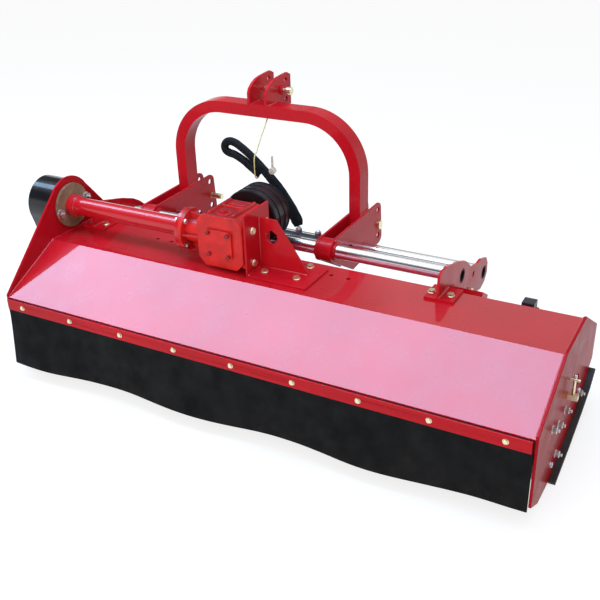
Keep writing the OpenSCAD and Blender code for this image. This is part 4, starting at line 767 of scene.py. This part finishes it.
def add_hoses():
    path = smooth_path([deck(*p) for p in HOSE_ROUTE_MM], HOSE_STEPS)

    def outline(i, share):
        ends = min(1.0, HOSE_END_SHARE + HOSE_END_GROWTH * min(share, 1 - share))
        width = HOSE_W_MM + (HOSE_FLAT_MM - HOSE_W_MM) * ease(max(0.0, 1 - share / HOSE_FLAT_SHARE))
        points = []
        for k in range(HOSE_SIDES):
            turn = 2 * math.pi * k / HOSE_SIDES
            crease = 1 + CREASE_SHARE * noise.noise(path[i] * CREASE_SCALE + Vector((turn, 0, 0)))
            groove = 1 - GROOVE_SHARE * math.exp(-(math.cos(turn) / GROOVE_WIDTH) ** 2)
            points.append((math.cos(turn) * width / 2 * MM * ends * crease,
                           math.sin(turn) * HOSE_D_MM / 2 * MM * ends * crease * groove))
        return points

    vertices, faces = sweep(path, outline, Vector((0, 1, 0)))
    hose = add_piece("hydraulic_hoses", vertices, faces, "hitch_frame", "hose_sleeve")
    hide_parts("hose_bundle")


def add_cord():
    path = smooth_path([deck(*p) for p in CORD_ROUTE_MM], CORD_STEPS)
    lengths = lengths_along(path)

    def outline(i, share):
        lay = 2 * math.pi * lengths[i] / (CORD_LAY_MM * MM)
        points = []
        for k in range(CORD_SIDES):
            turn = 2 * math.pi * k / CORD_SIDES
            lobe = 1 - CORD_HOLLOW_SHARE * (1 - abs(math.cos(CORD_STRANDS * (turn + lay) / 2)))
            points.append((math.cos(turn) * CORD_R_MM * MM * lobe, math.sin(turn) * CORD_R_MM * MM * lobe))
        return points

    vertices, faces = sweep(path, outline, Vector((1, 0, 0)))
    cord = add_piece("yellow_tie_cord", vertices, faces, "hitch_frame", "cord_fibre")
    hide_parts("tie_cord")


# Places that welds, washers and casting details share

SIDE_T_MM = 8
DRIVE_MM = (350, 472)
FOOT_TOP_MM = 390
BRACKET_XS_MM = (68, 1355)
BRACKET_T_MM = 8
MOUNT_CORNER_MM = (774, 268)
MOUNT_FACE_MM = 781

# Weld beads along the joints of the painted pieces

BEAD_SIDES = 10
BEAD_STEP_MM = 1.8
BEAD_RIPPLE = 0.10
BEAD_PITCH_MM = 5.5
BEAD_WANDER = 0.18
BEAD_WANDER_LEN_MM = 28
BEAD_SEED_STEP = 3.7
BEAD_ROW = 0.5
BEAD_END_SHARE = 0.35
BEAD_END_MM = 6
BEAD_GUIDE = Vector((0.31, 0.52, 0.79))
RING_STEPS = 120
SEAM_R_MM = 2.6
WELD_R_MM = 3.6
DECK_EDGE_MM = [(3, 272), (238, 384), (455, 384), (644, 265)]
DECK_SEAM_IN_MM = SIDE_T_MM + 1
TUBE_R_MM = 31.5
TUBE_ENDS_MM = (44, 500)
BRACKET_WELD_YS_MM = (375, 461)
MOUNT_WELDS_MM = [[(781, 270, 390), (781, 349, 390)], [(781, 358, 390), (781, 409, 390)],
                  [(782, 350, 390), (948, 350, 390)], [(782, 357, 390), (948, 357, 390)],
                  [(781, 350, 391), (781, 350, 553)], [(781, 357, 391), (781, 357, 553)]]
LEG_WELDS_MM = [[(x, 798, 415), (x, 861, 415.8)] for x in (147, 189, 874, 916)]
CLEVIS_WELDS_MM = [[(x, 798, 764), (x, 863, 764)] for x in (478.5, 489.5, 547.5, 558.5)]


def bead_path(points_mm):
    """Points along straight stretches, close enough to show a bead's ripples."""
    path = []
    points = [deck(*p) for p in points_mm]
    for a, b in zip(points, points[1:]):
        count = max(2, int((b - a).length / (BEAD_STEP_MM * MM)))
        path += [a.lerp(b, k / count) for k in range(count)]
    return path + [points[-1]]


def ring_path(x_mm, centre_mm, r_mm):
    """Points round an axis along X."""
    y, z = centre_mm
    turns = [math.radians(360 * k / RING_STEPS) for k in range(RING_STEPS + 1)]
    return [deck(x_mm, y + r_mm * math.cos(turn), z + r_mm * math.sin(turn)) for turn in turns]


def bead_mesh(path, r_mm, seed):
    """A rippled bead, thinning out at both ends."""
    lengths = lengths_along(path)

    def outline(i, share):
        ripple = 1 + BEAD_RIPPLE * math.sin(2 * math.pi * lengths[i] / (BEAD_PITCH_MM * MM))
        wander = 1 + BEAD_WANDER * noise.noise(Vector((lengths[i] / (BEAD_WANDER_LEN_MM * MM), seed, BEAD_ROW)))
        to_end = min(lengths[i], lengths[-1] - lengths[i])
        r = r_mm * MM * ripple * wander * min(1.0, BEAD_END_SHARE + to_end / (BEAD_END_MM * MM))
        return circle(BEAD_SIDES, r, r)

    return sweep(path, outline, BEAD_GUIDE)


def add_beads(name, paths, r_mm, body):
    """One piece made of several beads."""
    beads = [bead_mesh(path, r_mm, seed * BEAD_SEED_STEP) for seed, path in enumerate(paths)]
    add_piece(name, *joined(beads), body, "red_paint")


def add_welds():
    seam_xs = (DECK_SEAM_IN_MM, DECK_WIDTH_MM - DECK_SEAM_IN_MM)
    add_beads("deck_seams", [bead_path([(x, y, z) for y, z in DECK_EDGE_MM]) for x in seam_xs], SEAM_R_MM, "deck")
    plate_feet = [[(x, y, FOOT_TOP_MM) for y in BRACKET_WELD_YS_MM]
                  for start in BRACKET_XS_MM for x in (start, start + BRACKET_T_MM)]
    add_beads("bracket_welds", [bead_path(p) for p in plate_feet + MOUNT_WELDS_MM], WELD_R_MM, "deck")
    add_beads("tube_welds", [ring_path(x, DRIVE_MM, TUBE_R_MM) for x in TUBE_ENDS_MM], WELD_R_MM, "deck")
    add_beads("frame_welds", [bead_path(p) for p in LEG_WELDS_MM + CLEVIS_WELDS_MM], WELD_R_MM, "hitch_frame")


# Ribs, webs and rims of the gearbox casting, and bands round the guard

GEARBOX_MM = (676, 478)
GEARBOX_HALF_MM = (80, 84)
GEARBOX_CHAMFER_MM = 24
GEARBOX_TOP_MM = 562
RIBS_MM = [((626, 298), (637, 428), 8), ((715, 298), (726, 428), 8),
           ((630, 366), (722, 377), 6), ((644, 388), (708, 424), 4.5)]
RIB_SINK_MM = 4
RIB_DRAFT_MM = 1.5
RIB_EDGE_MM = 1.6
WEB_TURNS = (0, 90, 180, 270)
WEB_START_MM = (525, 38, 61)
WEB_END_MM = (600, 38, 52)
WEB_HALF_MM = 4
BOSS_PLACE_MM = (676, 316, 561)
BOSS_R_MM = 22
BOSS_H_MM = 6
RIM_SECTION_MM = ((-3, 280.6), (3.4, 280.6), (3.4, 293), (-3, 293))
RIM_CHAMFER_SHARE = 0.4
RIM_EDGE_MM = 2.2
GUARD_MM = (655, 472)
GUARD_R_MM = 97
GUARD_BANDS_MM = (501, 528, 561, 588)
BAND_TURNS = range(-38, 219, 2)
BAND_HALF_MM = (3.0, 1.3)
BAND_SIDES = 12
BLOCK_FACES = ((0, 1, 2, 3), (4, 5, 6, 7), (0, 1, 5, 4), (1, 2, 6, 5), (2, 3, 7, 6), (3, 0, 4, 7))


def add_blocks(name, blocks, edge_mm, body, slot):
    """One piece made of six-sided blocks, each given by its four lower and four upper corners in mm."""
    vertices, faces = joined(([deck(*c) for c in corners], BLOCK_FACES) for corners in blocks)
    soften(add_piece(name, vertices, faces, body, slot), edge_mm)


def rib(low, high, height):
    """Corners of a rib on top of the gearbox, with drafted sides. low and high are (x, y), in mm."""
    (x0, y0), (x1, y1), d = low, high, RIB_DRAFT_MM
    foot, top = GEARBOX_TOP_MM - RIB_SINK_MM, GEARBOX_TOP_MM + height
    return [(x0, y0, foot), (x1, y0, foot), (x1, y1, foot), (x0, y1, foot),
            (x0 + d, y0 + d, top), (x1 - d, y0 + d, top), (x1 - d, y1 - d, top), (x0 + d, y1 - d, top)]


def web(turn):
    """Corners of a web on the output neck, at a turn round the drive axis.

    WEB_START_MM and WEB_END_MM are (x, inner radius, outer radius).
    """
    y, z = DRIVE_MM
    out = Vector((math.cos(math.radians(turn)), math.sin(math.radians(turn))))
    side = Vector((-out.y, out.x)) * WEB_HALF_MM
    corners = []
    for k in (1, 2):
        for place, sign in ((WEB_START_MM, -1), (WEB_START_MM, 1), (WEB_END_MM, 1), (WEB_END_MM, -1)):
            spot = out * place[k] + side * sign
            corners.append((place[0], y + spot.x, z + spot.y))
    return corners


def rim_ring(grow, y):
    """The gearbox's eight-cornered outline, grown by some mm."""
    w, h = (half + grow for half in GEARBOX_HALF_MM)
    c = GEARBOX_CHAMFER_MM + RIM_CHAMFER_SHARE * grow
    corners = ((-w, c - h), (c - w, -h), (w - c, -h), (w, c - h), (w, h - c), (w - c, h), (c - w, h), (-w, h - c))
    return [deck(GEARBOX_MM[0] + a, y, GEARBOX_MM[1] + b) for a, b in corners]


def add_casting():
    blocks = [rib(*place) for place in RIBS_MM] + [web(turn) for turn in WEB_TURNS]
    add_blocks("casting_ribs", blocks, RIB_EDGE_MM, "deck", "gearbox_paint")
    add_washers("plug_boss", [(BOSS_PLACE_MM, (0, 0, 1))], BOSS_R_MM, BOSS_H_MM, "deck", "gearbox_paint")
    rings = [rim_ring(grow, y) for grow, y in RIM_SECTION_MM]
    count, sides = len(rings), len(rings[0])
    faces = [(i * sides + k, i * sides + (k + 1) % sides,
              (i + 1) % count * sides + (k + 1) % sides, (i + 1) % count * sides + k)
             for i in range(count) for k in range(sides)]
    soften(add_piece("casting_rim", [p for ring in rings for p in ring], faces, "deck", "gearbox_paint"), RIM_EDGE_MM)


def add_guard_bands():
    section = circle(BAND_SIDES, *(half * MM for half in BAND_HALF_MM))
    x, z = GUARD_MM
    bands = []
    for y in GUARD_BANDS_MM:
        path = [deck(x + GUARD_R_MM * math.cos(math.radians(turn)), y, z + GUARD_R_MM * math.sin(math.radians(turn)))
                for turn in BAND_TURNS]
        bands.append(sweep(path, lambda i, share: section, Vector((0, 1, 0))))
    add_piece("guard_bands", *joined(bands), "deck", "black_plastic")


# Washers under the bolt heads

WASHER_SIDES = 40
WASHER_PROFILE = [(0.35, 0), (1, 0), (1, 0.7), (0.93, 1), (0.35, 1)]  # shares of radius and thickness
WASHER_T_MM = 2.2
M12_WASHER_R_MM = 12.5
STRIP_BOLT_COUNT = 9
STRIP_END_MM = 78
STRIP_REAR_MM = (-11, 249)
STRIP_FRONT_MM = (646, 223)
STRIP_WASHER_R_MM = 8.6
STRIP_WASHER_T_MM = 1.5
MOUNT_FOOT_XS_MM = (38, 152)
MOUNT_FOOT_YS_MM = (50, 140)
BRACKET_FOOT_Y_MM = 411
BRACKET_FOOT_OUT_MM = 29
MOUNT_BOLTS_OUT_MM = (42, 54)


def add_washers(name, places, outer_mm, thick_mm, body, slot):
    """Flat rings with a small chamfer. places are (centre in mm, direction out of the surface)."""
    vertices, faces = [], []
    for centre, out in places:
        axis = Vector(out).normalized()
        across = axis.orthogonal().normalized()
        other = axis.cross(across)
        start = len(vertices)
        for share, up in WASHER_PROFILE:
            for k in range(WASHER_SIDES):
                turn = 2 * math.pi * k / WASHER_SIDES
                side = (across * math.cos(turn) + other * math.sin(turn)) * outer_mm * share * MM
                vertices.append(deck(*centre) + side + axis * up * thick_mm * MM)
        for ring in range(len(WASHER_PROFILE)):
            a, b = start + ring * WASHER_SIDES, start + (ring + 1) % len(WASHER_PROFILE) * WASHER_SIDES
            for k in range(WASHER_SIDES):
                faces.append((a + k, a + (k + 1) % WASHER_SIDES, b + (k + 1) % WASHER_SIDES, b + k))
    add_piece(name, vertices, faces, body, slot, smooth=False)


def add_all_washers():
    pitch = (DECK_WIDTH_MM - 2 * STRIP_END_MM) / (STRIP_BOLT_COUNT - 1)
    xs = [STRIP_END_MM + pitch * i for i in range(STRIP_BOLT_COUNT)]
    strips = [((x, *STRIP_REAR_MM), (0, -1, 0)) for x in xs] + [((x, *STRIP_FRONT_MM), (0, 1, 0)) for x in xs]
    add_washers("strip_washers", strips, STRIP_WASHER_R_MM, STRIP_WASHER_T_MM, "deck", "yellow_zinc")
    feet = [(MOUNT_CORNER_MM[0] + x, MOUNT_CORNER_MM[1] + y, FOOT_TOP_MM)
            for x in MOUNT_FOOT_XS_MM for y in MOUNT_FOOT_YS_MM]
    feet += [(x + BRACKET_T_MM / 2 + side * BRACKET_FOOT_OUT_MM, BRACKET_FOOT_Y_MM, FOOT_TOP_MM)
             for x in BRACKET_XS_MM for side in (-1, 1)]
    add_washers("foot_washers", [(c, (0, 0, 1)) for c in feet], M12_WASHER_R_MM, WASHER_T_MM, "deck", "yellow_zinc")
    y_out, z_out = MOUNT_BOLTS_OUT_MM
    mount = [(MOUNT_FACE_MM, DRIVE_MM[0] + sy * y_out, DRIVE_MM[1] + sz * z_out) for sy in (-1, 1) for sz in (-1, 1)]
    add_washers("mount_washers", [(c, (1, 0, 0)) for c in mount], M12_WASHER_R_MM, WASHER_T_MM, "deck", "yellow_zinc")


# Washers, nuts and threaded ends of bolts along X

PLATE_BOLTS_MM = [(481.3, 122.2), (299.1, 175), (226.1, 173.1), (153.1, 204.1), (235, 70)]
BEARING_BOLT_R_MM = 67
BEARING_BOLT_TURNS = (8, 188)
NUT_SIDES = 6
NUT_END_SHARE = 0.93
NUT_CHAMFER_MM = 0.7
NUT_WASHER_SHARE = 1.18
THREAD_SIDES = 20
THREAD_PITCH_MM = 1.5
THREAD_SINK_MM = 1
THREAD_ROOT = (0.1, 0.86)  # share of the pitch, share of the radius
THREAD_CREST = (0.6, 1)
THREAD_END_SHARES = (0.84, 0.6)
THREAD_CHAMFER_MM = 0.6


def turned(name, places, profile, sides):
    """One piece of several solids along X, each from a profile of (distance out, radius) in mm."""
    vertices, faces = [], []
    for i, (x, y, z) in enumerate(places):
        start = len(vertices)
        for out, r in profile:
            for k in range(sides):
                turn = 2 * math.pi * k / sides + i
                vertices.append(deck(x + out, y + r * math.cos(turn), z + r * math.sin(turn)))
        for ring in range(len(profile) - 1):
            a, b = start + ring * sides, start + (ring + 1) * sides
            faces += [(a + k, a + (k + 1) % sides, b + (k + 1) % sides, b + k) for k in range(sides)]
        faces += [tuple(start + k for k in range(sides)), tuple(len(vertices) - sides + k for k in range(sides))]
    add_piece(name, vertices, faces, "deck", "bright_zinc", smooth=sides > NUT_SIDES)


def add_bolt_ends(name, places, nut_r_mm, nut_h_mm, thread_r_mm, thread_len_mm):
    add_washers(name + "_washers", [(place, (1, 0, 0)) for place in places], nut_r_mm * NUT_WASHER_SHARE, WASHER_T_MM,
                "deck", "bright_zinc")
    low, high = WASHER_T_MM, WASHER_T_MM + nut_h_mm
    nut = [(low, NUT_END_SHARE * nut_r_mm), (low + NUT_CHAMFER_MM, nut_r_mm),
           (high - NUT_CHAMFER_MM, nut_r_mm), (high, NUT_END_SHARE * nut_r_mm)]
    turned(name + "_nuts", places, nut, NUT_SIDES)
    thread = [(high - THREAD_SINK_MM, thread_r_mm)]
    for k in range(round(thread_len_mm / THREAD_PITCH_MM)):
        thread += [(high + (k + out) * THREAD_PITCH_MM, share * thread_r_mm)
                   for out, share in (THREAD_ROOT, THREAD_CREST)]
    end = high + thread_len_mm
    thread += [(out, share * thread_r_mm) for out, share in zip((end, end + THREAD_CHAMFER_MM), THREAD_END_SHARES)]
    turned(name + "_bolt_ends", places, thread, THREAD_SIDES)


def add_all_bolt_ends():
    add_bolt_ends("plate", [(DECK_WIDTH_MM, y, z) for y, z in PLATE_BOLTS_MM],
                  nut_r_mm=10, nut_h_mm=10, thread_r_mm=4.9, thread_len_mm=7)
    face = (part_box("bearing_flange")[1].x - DECK_X) / MM
    turns = [math.radians(turn) for turn in BEARING_BOLT_TURNS]
    places = [(face, DRIVE_MM[0] + BEARING_BOLT_R_MM * math.cos(turn), DRIVE_MM[1] + BEARING_BOLT_R_MM * math.sin(turn))
              for turn in turns]
    add_bolt_ends("bearing", places, nut_r_mm=13.5, nut_h_mm=12, thread_r_mm=6, thread_len_mm=6)


add_camera()
add_stage()
dress_nodes()
add_flaps()
add_hoses()
add_cord()
add_welds()
add_all_washers()
add_all_bolt_ends()
add_casting()
add_guard_bands()
